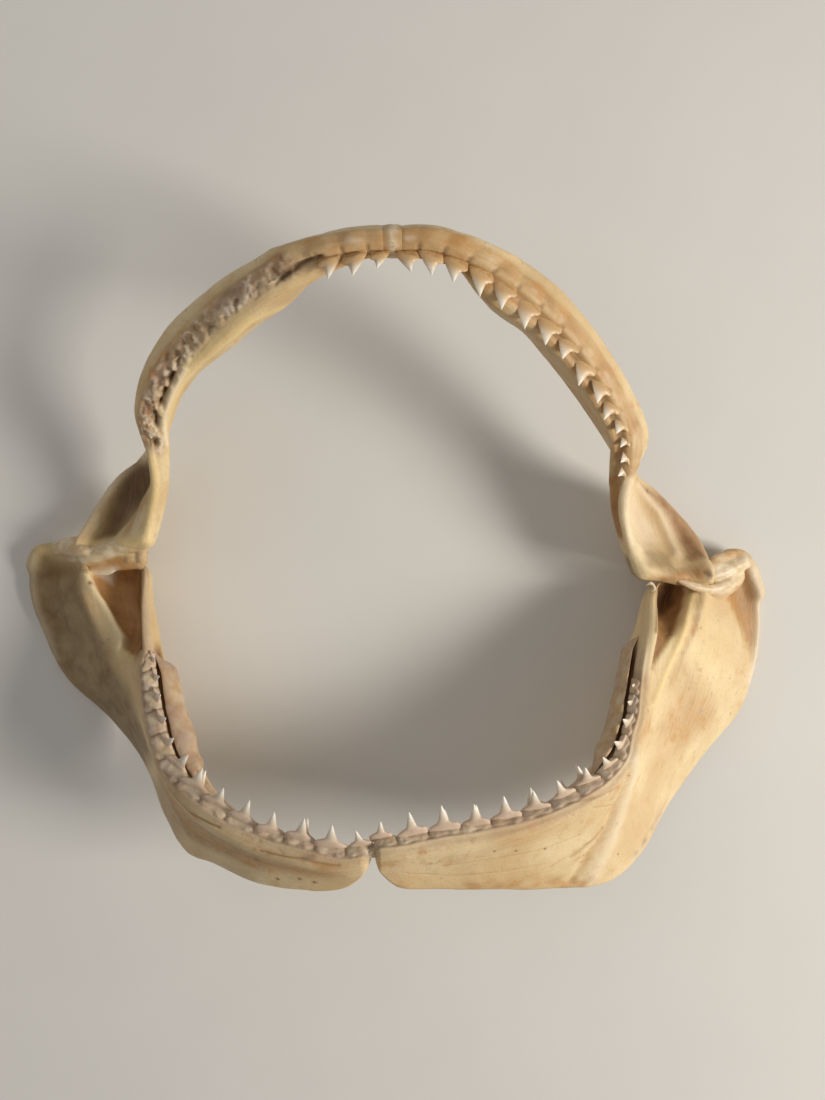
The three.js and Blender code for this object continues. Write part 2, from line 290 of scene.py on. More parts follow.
def cartilageFinish():
    look, ramps = cartilageLook, cartilageLook["ramps"]
    f = Finish("driedCartilage")
    lie = f.node("ShaderNodeCombineXYZ", {}, {0: f.painted("runs") * look["streakAlong"],
                                              1: f.painted("falls") * look["streakDown"], 2: 0.0})
    streaks = f.cloud(1, 4, 0.6, lie)
    broad, patchy = f.cloud(look["broadSize"], 3), f.cloud(look["patchSize"], 5, 0.6)
    grain = f.cloud(look["grainSize"], 4, 0.65)
    ivory = f.shade(f.ramp(broad, *ramps["ivory"]), look["ivory"])
    warm = f.shade(f.ramp(patchy, *ramps["warm"]), look["warm"])
    warmth = (f.painted("amber") * look["amberShare"]
              + (f.ramp(streaks, *ramps["streaks"]) * look["streakShare"])
              + (f.ramp(patchy, *ramps["patches"]) * look["patchShare"]))
    colour = f.mix(f.ramp(warmth, 0.0, 1.0), ivory, warm)
    blotches = f.ramp(f.cloud(look["blotchSize"], 6, 0.72), *ramps["blotches"])
    blotches = blotches * f.ramp(broad, *ramps["blotched"])
    colour = f.mix(blotches * look["blotchShare"], colour, tint(look["blotches"]))
    # olive paint is mostly painted shade, on plates turned away from the key lamp and in a quadrate's dark
    # dish
    olive = f.painted("olive") * (look["oliveLeast"] + f.ramp(patchy, *ramps["olive"]) * look["oliveMore"])
    colour = f.mix(olive, colour, tint(look["olive"]))
    gumShade = f.shade(f.ramp(patchy, *ramps["gum"]), look["gum"])
    colour = f.mix(f.painted("gum"), colour, gumShade)
    # cream and pale are partly the tissue's own pale colour and partly painted highlights along crests,
    # ridges and rims
    colour = f.mix(f.painted("cream"), colour, tint(look["cream"]))
    pale = f.painted("pale") * (look["paleLeast"] + grain * look["paleGrain"])
    colour = f.mix(pale, colour, tint(look["pale"]))
    # dark paint is mostly painted shade in fossae, grooves, gaps, pits and creases, plus a few real dark
    # specks
    hollow = f.shade(f.ramp(streaks, *ramps["hollow"]), look["hollow"])
    colour = f.mix(f.painted("dark"), colour, hollow)
    colour = f.mix(f.ramp(grain, *ramps["film"]) * look["filmShare"], colour, tint(look["film"]))
    specks = f.ramp(f.cells(look["speckSize"]), *ramps["specks"]) * f.ramp(patchy, *ramps["specked"])
    colour = f.mix(specks * look["speckShare"], colour, tint(look["specks"]))
    rough = (look["rough"] + grain * look["roughGrain"] + f.painted("gum") * look["roughGum"]
             - f.painted("gloss") * look["gloss"])
    bumped = f.bump(grain, look["grainDepth"])
    bumped = f.bump(f.cells(look["poreSize"]), look["poreDepth"], bumped)
    bumped = f.bump(streaks, look["streakDepth"], bumped)
    return f.close(look["shader"], Base_Color=colour, Roughness=rough, Normal=bumped)


toothLook = {
    "bone": ("c4a48a", "e6d2bc"), "pores": "8d6a4c", "skinned": ("b4854c", "d6ae74"),
    "low": ("dccab0", "d2ab76"), "tip": ("f4ece0", "f7eedc"), "stripes": "a9824c",
    "stripeSize": 0.8, "stripeStretch": 0.35, "stripeShare": 0.3, "patchSize": 3.0,
    "poreSize": 0.8, "poreShare": 0.3,
    "ramps": {"stripes": (0.5, 0.75), "skinned": (0.35, 0.65), "tip": (0.38, 0.85), "pores": (0.2, 0.08)},
    "rough": 0.60, "polish": 0.2, "pitSize": 0.6, "pitDepth": 0.16, "enamelSmooths": 0.75,
    "shader": {"Subsurface Weight": 0.08, "Subsurface Radius": (1.0, 0.7, 0.5),
               "Subsurface Scale": 0.0015, "IOR": 1.6},
}


def toothFinish():
    look, ramps = toothLook, toothLook["ramps"]
    f = Finish("enamelAndRoot")
    enamel, height, tanned = f.painted("enamel"), f.painted("height"), f.painted("tanned")
    stripes = f.cloud(look["stripeSize"], 4, 0.65, f.stretched(f.place, (1, 1, look["stripeStretch"])))
    patchy = f.cloud(look["patchSize"], 4)
    bone = f.shade(patchy, look["bone"])
    pores = f.ramp(f.cells(look["poreSize"]), *ramps["pores"])
    bone = f.mix(pores * look["poreShare"], bone, tint(look["pores"]))
    skinned = f.shade(f.ramp(patchy, *ramps["skinned"]), look["skinned"])
    bone = f.mix(tanned, bone, skinned)
    low, tip = f.shade(tanned, look["low"]), f.shade(tanned, look["tip"])
    glaze = f.mix(f.ramp(height, *ramps["tip"]), low, tip)
    striped = f.ramp(stripes, *ramps["stripes"]) * look["stripeShare"]
    glaze = f.mix(striped, glaze, tint(look["stripes"]))
    colour = f.mix(enamel, bone, glaze)
    rough = look["rough"] - enamel * look["polish"]
    pits = f.cloud(look["pitSize"], 4, 0.7) * (1 - enamel * look["enamelSmooths"])
    bumped = f.bump(pits, look["pitDepth"])
    return f.close(look["shader"], Base_Color=colour, Roughness=rough, Normal=bumped)


tissueLook = {
    "skin": ("cfb17c", "eddcb6"), "amber": "c98838", "pink": "c4a594", "pale": "f3e9d6", "dark": "58361a",
    "strands": "a57c48", "patchSize": 4, "fineSize": 0.9, "strandSize": 1.0,
    "strandStretch": (0.35, 1.3, 0.8), "darkShare": 0.9, "strandShare": 0.3,
    "rough": 0.28, "roughFine": 0.34, "strandDepth": 0.25, "fineDepth": 0.12,
    "ramps": {"skin": (0.35, 0.68), "strands": (0.55, 0.8)},
    "shader": {"Subsurface Weight": 0.14, "Subsurface Radius": (1.0, 0.6, 0.35),
               "Subsurface Scale": 0.003, "Coat Weight": 0.2, "Coat Roughness": 0.3},
}


def tissueFinish():
    look, ramps = tissueLook, tissueLook["ramps"]
    f = Finish("driedTissue")
    patchy, fine = f.cloud(look["patchSize"], 4), f.cloud(look["fineSize"], 4, 0.65)
    strands = f.cloud(look["strandSize"], 3, 0.6, f.stretched(f.place, look["strandStretch"]))
    colour = f.shade(f.ramp(patchy, *ramps["skin"]), look["skin"])
    for key in ("amber", "pink", "pale"):
        colour = f.mix(f.painted(key), colour, tint(look[key]))
    # dark is real staining, plus painted shade along the skin's rim beside the lower teeth
    colour = f.mix(f.painted("dark") * look["darkShare"], colour, tint(look["dark"]))
    colour = f.mix(f.ramp(strands, *ramps["strands"]) * look["strandShare"], colour, tint(look["strands"]))
    rough = look["rough"] + fine * look["roughFine"]
    bumped = f.bump(strands, look["strandDepth"], f.bump(fine, look["fineDepth"]))
    return f.close(look["shader"], Base_Color=colour, Roughness=rough, Normal=bumped)


cartilage, enamel, tissue = cartilageFinish(), toothFinish(), tissueFinish()
print("finishes wired")


# A form is what the two halves of one jaw share. Its back and bow go by station, and pitch, crown,
# crownWidth, lean, rise and set by the number of the tooth, counted from the symphysis.
# A station is x, y, z of the tooth edge, x, y, z of the back edge, then how far the labial and the
# lingual face stand off just behind the tooth edge. Stations run from the symphysis to the hinge.
upperForm = {
    "crest": 7, "fade": 24,
    "back": [[0, 3], [2, 4.5], [8, 4], [10, 2.8], [12, 4.5]],
    "bow": [[0, 0], [8, 0], [9.5, -3], [11, -6], [12, -1]],
    "hollows": [
        {"start": 9.2, "at": [0.55, 0.66], "width": [0.16, 0.2], "rise": -4.5},
        {"start": 9.6, "at": [0.84, 0.88], "width": [0.08, 0.07], "rise": 3.0},
    ],
    "pitch": [[0, 9.7], [7, 12.1], [14, 6.8]],
    "crown": [[0, 8.6], [5, 12], [8, 11.4], [14, 5.4]],
    "crownWidth": [[0, 0.84], [1, 0.95], [9, 1.0], [14, 1.2]],
    "lean": [[0, 4], [4, 20], [14, 28]],
    "rise": [[0, 14], [14, 24]],
    "set": [[0, 1.5], [4, 0], [9, -2], [14, -1.9]], "proud": -1.2, "edgeSteps": 3000,
}
lowerForm = {
    "crest": 7, "fade": 20,
    "back": [[0, 3.5], [4, 3], [8, 2.6], [11, 2.8], [12, 5]],
    "bow": [[0, 0], [5, 1], [9, 1.5], [12, 0]],
    "hollows": [
        {"start": 9.6, "at": [0.13, 0.26], "width": [0.03, 0.15], "rise": -10},
        {"start": 9, "at": [0.27, 0.5], "width": [0.07, 0.07], "rise": 3.6},
        {"start": 9.6, "at": [0.8, 0.86], "width": [0.1, 0.1], "rise": -2.2},
    ],
    "pitch": [[0, 12.2], [5, 12.6], [9, 10.6], [13, 7]],
    "crown": [[0, 6.5], [1, 9.6], [5, 10], [9, 8], [13, 4]],
    "crownWidth": [[0, 0.68], [1, 0.96], [13, 1.02]],
    "lean": [[0, 0], [13, 8]],
    "rise": [[0, 24], [6, 30], [9, 58], [13, 62]],
    "set": [[0, 1], [13, -1]], "proud": -0.3, "edgeSteps": 3000,
}
upperLeft = {
    "node": "upper_jaw_left", "form": upperForm, "side": 1, "start": -0.4, "shares": [1] * 15, "seed": 11,
    "stations": [
        [-2.8, 120.1, 100, -3.2, 127.5, 91, 5.2, 6],
        [10.7, 120.5, 100, 11.5, 127.8, 89, 6.3, 7],
        [24.8, 117.3, 98, 26, 123.2, 80, 9, 6],
        [38.9, 111.7, 94, 38.7, 106.5, 72, 14.5, 11],
        [52.5, 103.6, 88, 51.7, 99.4, 66, 15, 9.8],
        [65.5, 93.9, 81, 62, 90, 59, 15, 8],
        [77.6, 82.4, 73, 73.6, 78.7, 51, 15, 7.8],
        [88.5, 69.4, 65, 86.2, 64.8, 43, 14.5, 7.8],
        [96.3, 56.5, 57, 96.1, 54.8, 34, 12, 7.5],
        [97.4, 42.9, 50, 104.9, 43.4, 24, 6.2, 6.5],
        [96.3, 29.1, 43, 121, 34.4, 15, 4, 5],
        [100, 12.8, 38, 138.4, 17.3, 11, 3.5, 4.5],
        [106.8, -3.8, 35, 146.9, -5.9, 20, 5.5, 5.5],
    ],
}
upperRight = {
    "node": "upper_jaw_right", "form": upperForm, "side": -1, "start": -0.4, "seed": 23,
    "shares": [0.8, 1, 1], "bare": [2.7, 9.0],
    "stations": [
        [-3.5, 120.1, 100, -3.9, 127.5, 91, 5.6, 6],
        [-17.4, 119.3, 100, -19.4, 126.5, 89, 5.8, 7],
        [-31.4, 116.9, 98, -34.9, 121.4, 80, 8, 9],
        [-45.4, 112.4, 94, -47.4, 105.7, 72, 13.5, 8.5],
        [-60, 105.2, 88, -61.1, 97.9, 66, 15, 10.5],
        [-73.6, 96.4, 81, -73.7, 89.1, 59, 16.5, 10.5],
        [-86.2, 85.8, 73, -86.9, 81.1, 51, 16, 8.5],
        [-96.8, 74.1, 65, -97.1, 71.8, 43, 13.5, 6.6],
        [-103.9, 61, 57, -103.8, 60.7, 34, 10, 6],
        [-104.5, 46.6, 50, -112, 47.3, 24, 5, 6.3],
        [-102.9, 32.2, 43, -128.5, 36.5, 15, 4, 5],
        [-105.6, 18.4, 38, -140.5, 20.7, 12, 3.5, 4.5],
        [-108.2, 3.4, 35, -149, 0, 19, 5.5, 5.5],
    ],
}
lowerLeft = {
    "node": "lower_jaw_left", "form": lowerForm, "side": -1, "start": -3.6, "shares": [1] * 13, "seed": 37,
    "gumLine": [[0, 3], [3, 2.4], [5, 3.6], [6, 3.4], [7, 2.2], [13, 1.6]],
    "gumEnd": 8.9,
    "stations": [
        [-4.1, -104.8, 94, -3.6, -115.8, 88, 5, 4.5],
        [5.6, -103.7, 94, 5.3, -125.1, 83, 6, 4.5],
        [20.9, -101.6, 92, 22, -126.8, 79, 6.5, 5],
        [40.2, -98.8, 89, 43.4, -127.9, 75, 6.5, 5.5],
        [60.1, -93.8, 84, 66.6, -130, 67, 6.5, 7],
        [78.6, -85.3, 78, 91.9, -131.6, 53, 6.5, 9.5],
        [91.1, -76.7, 72, 110.2, -123.3, 37, 6, 11.5],
        [97.6, -65.3, 65, 126, -104, 23, 5.5, 12.5],
        [101.5, -52.8, 57, 144.9, -84.2, 11, 5, 12.5],
        [105, -38.9, 49, 163.7, -64.3, 3.5, 4.5, 12],
        [109.1, -24.9, 41, 171.3, -39.2, 1.5, 4, 9],
        [111.8, -13.1, 32, 172, -13, 1.5, 3.5, 6.5],
        [115.3, -6.6, 24, 162.7, 9.1, 4.5, 5, 5],
    ],
}
lowerRight = {
    "node": "lower_jaw_right", "form": lowerForm, "side": 1, "start": -2.8, "shares": [1] * 13, "seed": 53,
    "gumLine": [[0, 3], [3, 2.2], [5, 3.4], [7, 5.5], [9.6, 5.5], [10.4, 2.5], [13, 1.6]],
    "gumEnd": 10.0,
    "stations": [
        [-5.7, -107.1, 94, -5.1, -115.9, 88, 5, 4.5],
        [-17.2, -109.3, 93, -15.9, -127.7, 77, 6, 4.5],
        [-30.8, -107.6, 91, -34.4, -130.7, 71, 6.5, 5],
        [-44.8, -105.4, 88, -53.8, -130.3, 64, 6.5, 6],
        [-59.2, -101, 84, -72.2, -127.3, 53, 6.5, 6.5],
        [-71.8, -94.8, 79, -85.7, -126, 42, 6.5, 8],
        [-82.5, -88.2, 73, -97.7, -113.9, 30, 6, 11],
        [-90.4, -78.4, 67, -107, -98, 22, 5.5, 12.5],
        [-95.5, -67.3, 61, -120, -85, 11, 5, 13],
        [-99.7, -55.9, 54, -136, -72.8, 3, 4.5, 12.5],
        [-102.9, -44, 48, -153.8, -58.2, 2, 4.5, 9.5],
        [-105.6, -31.8, 41, -165, -39.1, 1.5, 4, 7],
        [-109, -19.2, 33, -172.8, -15.5, 1.5, 3.5, 5.5],
        [-111.8, -4.4, 24, -167.5, 5.6, 4.5, 5, 5],
    ],
}
halves = [upperLeft, upperRight, lowerLeft, lowerRight]

# Marks are lines and patches of (station, reach from the tooth edge) on one face. wide is a line's half
# width or the softness of a patch's edge, and lift how far it stands out, both in millimetres.
upperLeft["marks"] = [
    # painted highlight: pale cream along the inner crest
    {"line": [(9.5, 0.07), (10.12, 0.075), (10.76, 0.087), (11.2, 0.13)],
     "wide": 3.6, "lift": 0.9, "pale": 0.5, "cream": 0.5},
    # painted highlight along the raised fold
    {"line": [(9.5, 0.68), (10.34, 0.74), (10.97, 0.69), (11.36, 0.66)],
     "wide": 2.4, "lift": 1.0, "pale": 0.35},
    # painted shade: the band past the fold is darkened and browned, partly its own brown
    {"patch": [(9.5, 0.74), (10.34, 0.79), (11.0, 0.74), (11.5, 0.71), (11.55, 0.92), (10.9, 0.97),
               (9.9, 0.96)],
     "wide": 6, "lift": -1.2, "dark": 0.22, "amber": 0.8, "gum": 0.3},
    {"patch": [(9.6, 0.2), (9.9, 0.62), (10.5, 0.64), (11.1, 0.58), (11.2, 0.3), (10.8, 0.2),
               (10.2, 0.16)],
     "wide": 11, "lift": -1.8, "gum": 0.34, "pale": 0.35},
    {"patch": [(11.25, 0.2), (11.3, 0.62), (11.8, 0.5), (11.75, 0.15)],
     "wide": 8, "olive": 0.7, "gloss": 0.8},
    # painted highlight: a pale cream spot on the plate
    {"line": [(10.2, 0.3), (10.9, 0.25)], "wide": 5, "pale": 0.4, "cream": 0.5},
    {"line": [(11.95, 0.3), (11.85, 0.55), (11.8, 0.78)],
     "wide": 3.2, "lift": 1.4, "dark": 0.2, "amber": 0.8},
    # painted shade in a small notch
    {"line": [(11.8, 0.8), (11.87, 0.84)], "wide": 1.4, "lift": -1.2, "dark": 0.7},
    {"line": [(9.77, 0.787)], "wide": 1.3, "dark": 0.6},
    # painted shade: the inner margin darkened and browned
    {"line": [(9.25, 0.14), (9.91, 0.05), (10.73, 0.05)],
     "face": "lingual", "wide": 4, "dark": 0.2, "amber": 1.0},
    {"line": [(11.5, 0.03), (11.9, 0.08), (12, 0.25)], "face": "lingual", "wide": 3, "dark": 0.55},
]
upperRight["marks"] = [
    # painted shade: the dish darkened and made olive
    {"patch": [(9.3, 0.16), (9.9, 0.18), (10.43, 0.45), (10.98, 0.58), (11.5, 0.58), (11.6, 0.69),
               (11.04, 0.74), (10.18, 0.82), (9.5, 0.88)],
     "wide": 9, "lift": -2.2, "dark": 0.66, "olive": 0.9},
    # painted highlight: cream along the inner ridge
    {"line": [(9.3, 0.06), (10.0, 0.05), (10.97, 0.06), (11.8, 0.045)],
     "wide": 2.2, "lift": 1.0, "cream": 0.8},
    # pale along the outer rim is painted highlight; the grey-pink gum tint is its own colour
    {"line": [(9.6, 0.93), (9.96, 0.94), (10.8, 0.9), (11.57, 0.88)],
     "wide": 2.4, "gum": 0.3, "pale": 0.3},
    {"line": [(11.8, 0.08), (11.9, 0.4), (11.85, 0.75)], "wide": 3.0, "lift": 1.0, "cream": 0.9},
    {"line": [(10.5, 0.25), (11.15, 0.36), (11.7, 0.3)], "wide": 3.5, "lift": 0.5, "amber": 0.6},
    {"line": [(11.0, 0.3), (11.4, 0.22)], "wide": 1.6, "lift": 0.4, "gum": 0.5, "pale": 0.3},
    # painted shade in the trench of the bare bed
    {"line": [(6.3, 0.02), (7.13, 0.09), (7.7, 0.11), (8.32, 0.085), (8.85, 0.04)],
     "face": "lingual", "wide": 1.5, "lift": -3.2, "dark": 1.0, "gum": -1, "pale": -1, "broken": 1.0},
    {"line": [(3.3, 0.7), (4.18, 0.36), (4.66, 0.38), (5.45, 0.31), (6.34, 0.33), (7.5, 0.36),
              (8.6, 0.32)],
     "face": "lingual", "wide": 4, "cream": 0.85},
    # painted highlight on a raised line of the bare bed
    {"line": [(6.4, 0.2), (7.2, 0.22), (8.0, 0.22), (8.8, 0.2)],
     "face": "lingual", "wide": 1.2, "lift": 0.7, "pale": 0.6},
    # painted shade in the groove where the bare bed begins
    {"line": [(2.0, 0.02), (2.6, 0.05), (3.1, 0.1)],
     "face": "lingual", "wide": 1.5, "lift": -1.5, "dark": 0.85},
]
lowerLeft["marks"] = [
    # painted shade: the fossa darkened, deepest in its core; its amber is the fossa's own orange-brown
    {"patch": [(11.9, 0.1), (11.5, 0.09), (11.02, 0.12), (10.3, 0.095), (9.65, 0.09), (8.95, 0.084),
               (9.4, 0.14), (9.7, 0.175), (10.23, 0.25), (10.82, 0.345), (11.28, 0.375), (11.9, 0.36)],
     "wide": 3.0, "lift": -1.5, "dark": 0.45, "amber": 1.0},
    {"patch": [(11.9, 0.12), (11.3, 0.12), (10.7, 0.12), (10.2, 0.11), (10.1, 0.15), (10.5, 0.22),
               (11.0, 0.33), (11.9, 0.33)],
     "wide": 6.0, "dark": 0.9},
    # painted highlight: cream along the ridge beside the fossa
    {"line": [(11.1, 0.42), (10.8, 0.385), (9.98, 0.275), (9.34, 0.22), (8.66, 0.184), (8.04, 0.145)],
     "wide": 2.0, "lift": 1.5, "cream": 0.9},
    {"line": [(10.5, 0.4), (9.92, 0.33), (9.42, 0.3), (8.91, 0.282)],
     "wide": 2.4, "lift": -0.6, "amber": 0.4},
    {"line": [(11.6, 0.02), (10.6, 0.03), (9.6, 0.045), (8.9, 0.05)],
     "wide": 3.5, "lift": 0.3, "pale": 0.25, "cream": 0.4},
    {"line": [(11.8, 0.06), (10.6, 0.07), (9.7, 0.07)],
     "face": "lingual", "wide": 4.5, "pale": 0.2, "cream": 0.5},
    {"line": [(11.3, 0.075), (10.6, 0.07), (9.9, 0.07)],
     "wide": 0.7, "lift": 0.4, "dark": 0.3, "amber": 0.8},
    # painted shade: the dish near the back edge darkened and browned, partly its own brown
    {"patch": [(11.55, 0.74), (11.6, 0.91), (10.9, 0.945), (10.2, 0.94), (9.9, 0.92), (10.2, 0.86),
               (10.7, 0.78), (11.1, 0.72)],
     "wide": 9, "lift": -1.7, "dark": 0.12, "amber": 0.85},
    # painted highlight: pale along the thin rim at the back edge
    {"line": [(11.6, 0.93), (10.8, 0.95), (10.2, 0.95), (9.5, 0.94)],
     "wide": 1.4, "lift": 0.6, "pale": 0.6},
    {"patch": [(10.6, 0.5), (10.4, 0.66), (9.6, 0.7), (9.2, 0.55), (9.6, 0.4)], "wide": 16, "cream": 0.4},
    {"patch": [(9.4, 0.3), (8.4, 0.4), (7.6, 0.3), (7.6, 0.7), (8.6, 0.8), (9.2, 0.6)],
     "wide": 14, "amber": 0.5},
    {"line": [(11.9, 0.6), (11.95, 0.8), (11.9, 0.94), (11.5, 0.97), (11.1, 0.96)],
     "wide": 3.2, "lift": 3.4, "pale": 0.2},
    {"line": [(6.08, 0.096), (5.58, 0.272), (5.19, 0.445), (4.71, 0.617), (4.33, 0.865)],
     "wide": 2.0, "lift": -0.9, "amber": 0.35},
    {"line": [(6.45, 0.12), (5.95, 0.28), (5.5, 0.45), (5.05, 0.63), (4.7, 0.85)],
     "wide": 4.0, "lift": 1.1, "pale": 0.35},
    {"line": [(4.6, 0.07), (5.13, 0.12), (5.56, 0.14)],
     "wide": 0.6, "lift": -0.35, "dark": 0.15, "amber": 0.5},
    {"line": [(4.9, 0.18), (5.2, 0.24), (5.45, 0.28)], "wide": 0.5, "lift": -0.3, "amber": 0.5},
    {"line": [(4.4, 0.6), (4.77, 0.51), (5.07, 0.44)],
     "wide": 0.6, "lift": -0.4, "dark": 0.2, "amber": 0.6},
    {"line": [(4.0, 0.66), (4.35, 0.58), (4.7, 0.5)], "wide": 0.5, "lift": -0.3, "amber": 0.4},
    {"line": [(2.0, 0.5), (2.9, 0.45), (3.9, 0.44), (4.6, 0.4)],
     "wide": 0.5, "lift": -0.25, "amber": 0.35},
    {"line": [(1.2, 0.6), (2.2, 0.68), (3.2, 0.66), (3.9, 0.62)], "wide": 0.5, "lift": -0.2, "amber": 0.3},
    {"line": [(2.6, 0.86), (3.6, 0.86), (4.65, 0.88)], "wide": 5.0, "amber": 0.7, "broken": 0.6},
    {"line": [(3.95, 0.448)], "wide": 0.5, "dark": 0.9},
    {"line": [(3.38, 0.379)], "wide": 0.6, "dark": 0.9},
    {"line": [(2.98, 0.317)], "wide": 0.5, "dark": 0.9},
    {"line": [(5.34, 0.741)], "wide": 0.5, "dark": 0.9},
    {"line": [(5.07, 0.425)], "wide": 0.5, "dark": 0.8},
    {"line": [(10.26, 0.433)], "wide": 0.6, "dark": 0.8},
    {"line": [(8.65, 0.621), (8.5, 0.66)], "wide": 2.8, "gum": 0.5, "broken": 1.5},
    {"line": [(5.77, 0.88), (6.24, 0.88), (6.7, 0.9)], "wide": 2.2, "gum": 0.7, "broken": 1.2},
]
lowerRight["marks"] = [
    {"patch": [(12.9, 0.41), (12.95, 0.05), (12.58, 0.045), (11.47, 0.055), (10.42, 0.06), (10.3, 0.2),
               (10.5, 0.25), (10.8, 0.265), (11.2, 0.325), (11.8, 0.365), (12.4, 0.45)],
     "wide": 2.6, "lift": -2.2, "dark": 0.06, "amber": 0.95},
    # painted shade: the fossa's core and ends darkened
    {"patch": [(12.9, 0.25), (12.95, 0.05), (12.58, 0.045), (11.47, 0.055), (10.42, 0.06), (10.3, 0.15),
               (10.82, 0.2), (11.7, 0.25), (12.29, 0.27)],
     "wide": 6, "dark": 0.42},
    {"line": [(12.75, 0.1), (12.45, 0.13), (12.2, 0.12)], "wide": 4, "dark": 0.8},
    {"line": [(11.1, 0.16), (10.7, 0.13), (10.4, 0.1)], "wide": 4, "dark": 0.85},
    # painted highlight: pale cream along the sharp ridge, where the painted olive shade is taken off
    {"line": [(12.4, 0.484), (11.79, 0.39), (11.2, 0.349), (10.77, 0.285), (10.47, 0.274)],
     "wide": 1.9, "lift": 2.6, "pale": 0.35, "cream": 1.0, "olive": -1},
    {"line": [(10.6, 0.285), (10.4, 0.27)], "wide": 2.4, "lift": 0.8, "cream": 0.9},
    {"patch": [(12.55, 0.44), (12.75, 0.33), (12.34, 0.33)],
     "wide": 3, "dark": -0.9, "gum": 0.5, "pale": 0.6},
    # painted shade in a small pit
    {"line": [(12.2, 0.457)], "wide": 0.9, "lift": -1.4, "dark": 1.0},
    {"line": [(12.96, 0.012), (11.99, 0.02), (11.04, 0.02), (10.2, 0.02)],
     "wide": 3.0, "lift": 0.2, "gum": 0.3, "pale": 0.15},
    # painted shade: the plate turned from the key lamp darkened and made olive
    {"patch": [(12.6, 0.52), (12.8, 0.99), (9, 0.99), (7.2, 0.99), (7.2, 0.35), (9.3, 0.3),
               (10.4, 0.36), (11.6, 0.45)],
     "wide": 14, "dark": 0.12, "olive": 0.9},
    # painted highlight: cream on the raised rim at the back
    {"line": [(12.85, 0.62), (12.93, 0.8), (12.8, 0.93), (12.4, 0.97)],
     "wide": 3.2, "lift": 3.0, "cream": 0.35},
    {"line": [(12.4, 0.7), (12.3, 0.82)], "wide": 4.5, "lift": -1.2, "dark": 0.2, "amber": 0.6},
    {"line": [(12.3, 0.76), (11.54, 0.74), (10.87, 0.77)], "wide": 4.5, "lift": -1.2, "dark": 0.22},
    # painted highlight: pale on the raised line near the back edge
    {"line": [(12.6, 0.93), (11.91, 0.92), (11.22, 0.93), (10.5, 0.92)],
     "wide": 2.2, "lift": 0.7, "pale": 0.3},
    {"patch": [(0.8, 0.3), (3.0, 0.26), (5.0, 0.22), (6.4, 0.16), (6.6, 0.4), (5.0, 0.66), (3.0, 0.6),
               (1.2, 0.55)],
     "wide": 9, "amber": 0.7},
    # painted shade: darkened and browned low on the front plate
    {"patch": [(5.0, 0.5), (6.6, 0.35), (6.8, 0.9), (5.4, 0.95)], "wide": 12, "dark": 0.25, "amber": 0.4},
    {"line": [(2.47, 0.72)], "wide": 0.8, "lift": -0.3, "dark": 1.0},
    {"line": [(1.98, 0.65)], "wide": 0.7, "lift": -0.3, "dark": 1.0},
    {"line": [(1.64, 0.69)], "wide": 0.8, "lift": -0.3, "dark": 1.0},
    {"line": [(1.0, 0.2), (2.0, 0.17), (3.0, 0.19)],
     "wide": 0.7, "lift": -0.4, "dark": 0.25, "amber": 0.7},
    {"line": [(1.7, 0.13), (1.9, 0.17)], "wide": 1.6, "dark": 0.4, "gum": 0.6, "broken": 1.0},
    {"line": [(0.9, 0.5), (2.2, 0.42), (3.6, 0.45), (4.6, 0.5)], "wide": 0.5, "lift": -0.25, "amber": 0.4},
    {"line": [(4.2, 0.12), (5.1, 0.16), (6.0, 0.15)],
     "wide": 0.6, "lift": -0.5, "dark": 0.3, "amber": 0.7},
]
bladeGrid = {
    "gap": 0.62, "endRound": 5.0, "corner": 4.0,
    "endPoints": 9, "crestPoints": 26, "facePoints": 78, "backPoints": 12, "edgeSamples": 600,
    "crestLimit": 0.45, "backLimit": 0.4, "hollowGrowth": 1.6,
}


def arcOf(line):  # how far along a line each of its points lies
    return np.concatenate([[0], np.cumsum(np.linalg.norm(np.diff(line, axis=0), axis=1))])


def curl(count):  # from 0 to 1, close together at the start
    return 1 - np.cos(np.linspace(0, np.pi / 2, count + 1))


def crossShares(depth, crest, back):  # how far down a face each point of a ring lies
    crest = np.minimum(crest, bladeGrid["crestLimit"] * depth)
    back = np.minimum(back, bladeGrid["backLimit"] * depth)
    top = crest * curl(bladeGrid["crestPoints"])
    middle = crest + (depth - back - crest) * np.linspace(0, 1, bladeGrid["facePoints"] + 1)[1:]
    low = depth - back * curl(bladeGrid["backPoints"])[-2::-1]
    return np.concatenate([top, middle, low], axis=1) / depth


def ringPlaces(rows):  # places of the rings from 0 to 1, share of one rounded end, length of the blade
    edgeLine = rail(rows[:, :3], np.linspace(0, 1, bladeGrid["edgeSamples"]))
    length = np.linalg.norm(np.diff(edgeLine, axis=0), axis=1).sum()
    end = bladeGrid["endRound"] / length
    near = end * curl(bladeGrid["endPoints"] - 1)
    middle = np.linspace(end, 1 - end, int(length / bladeGrid["gap"]))[1:-1]
    return np.concatenate([near, middle, 1 - near[::-1]]), end, length


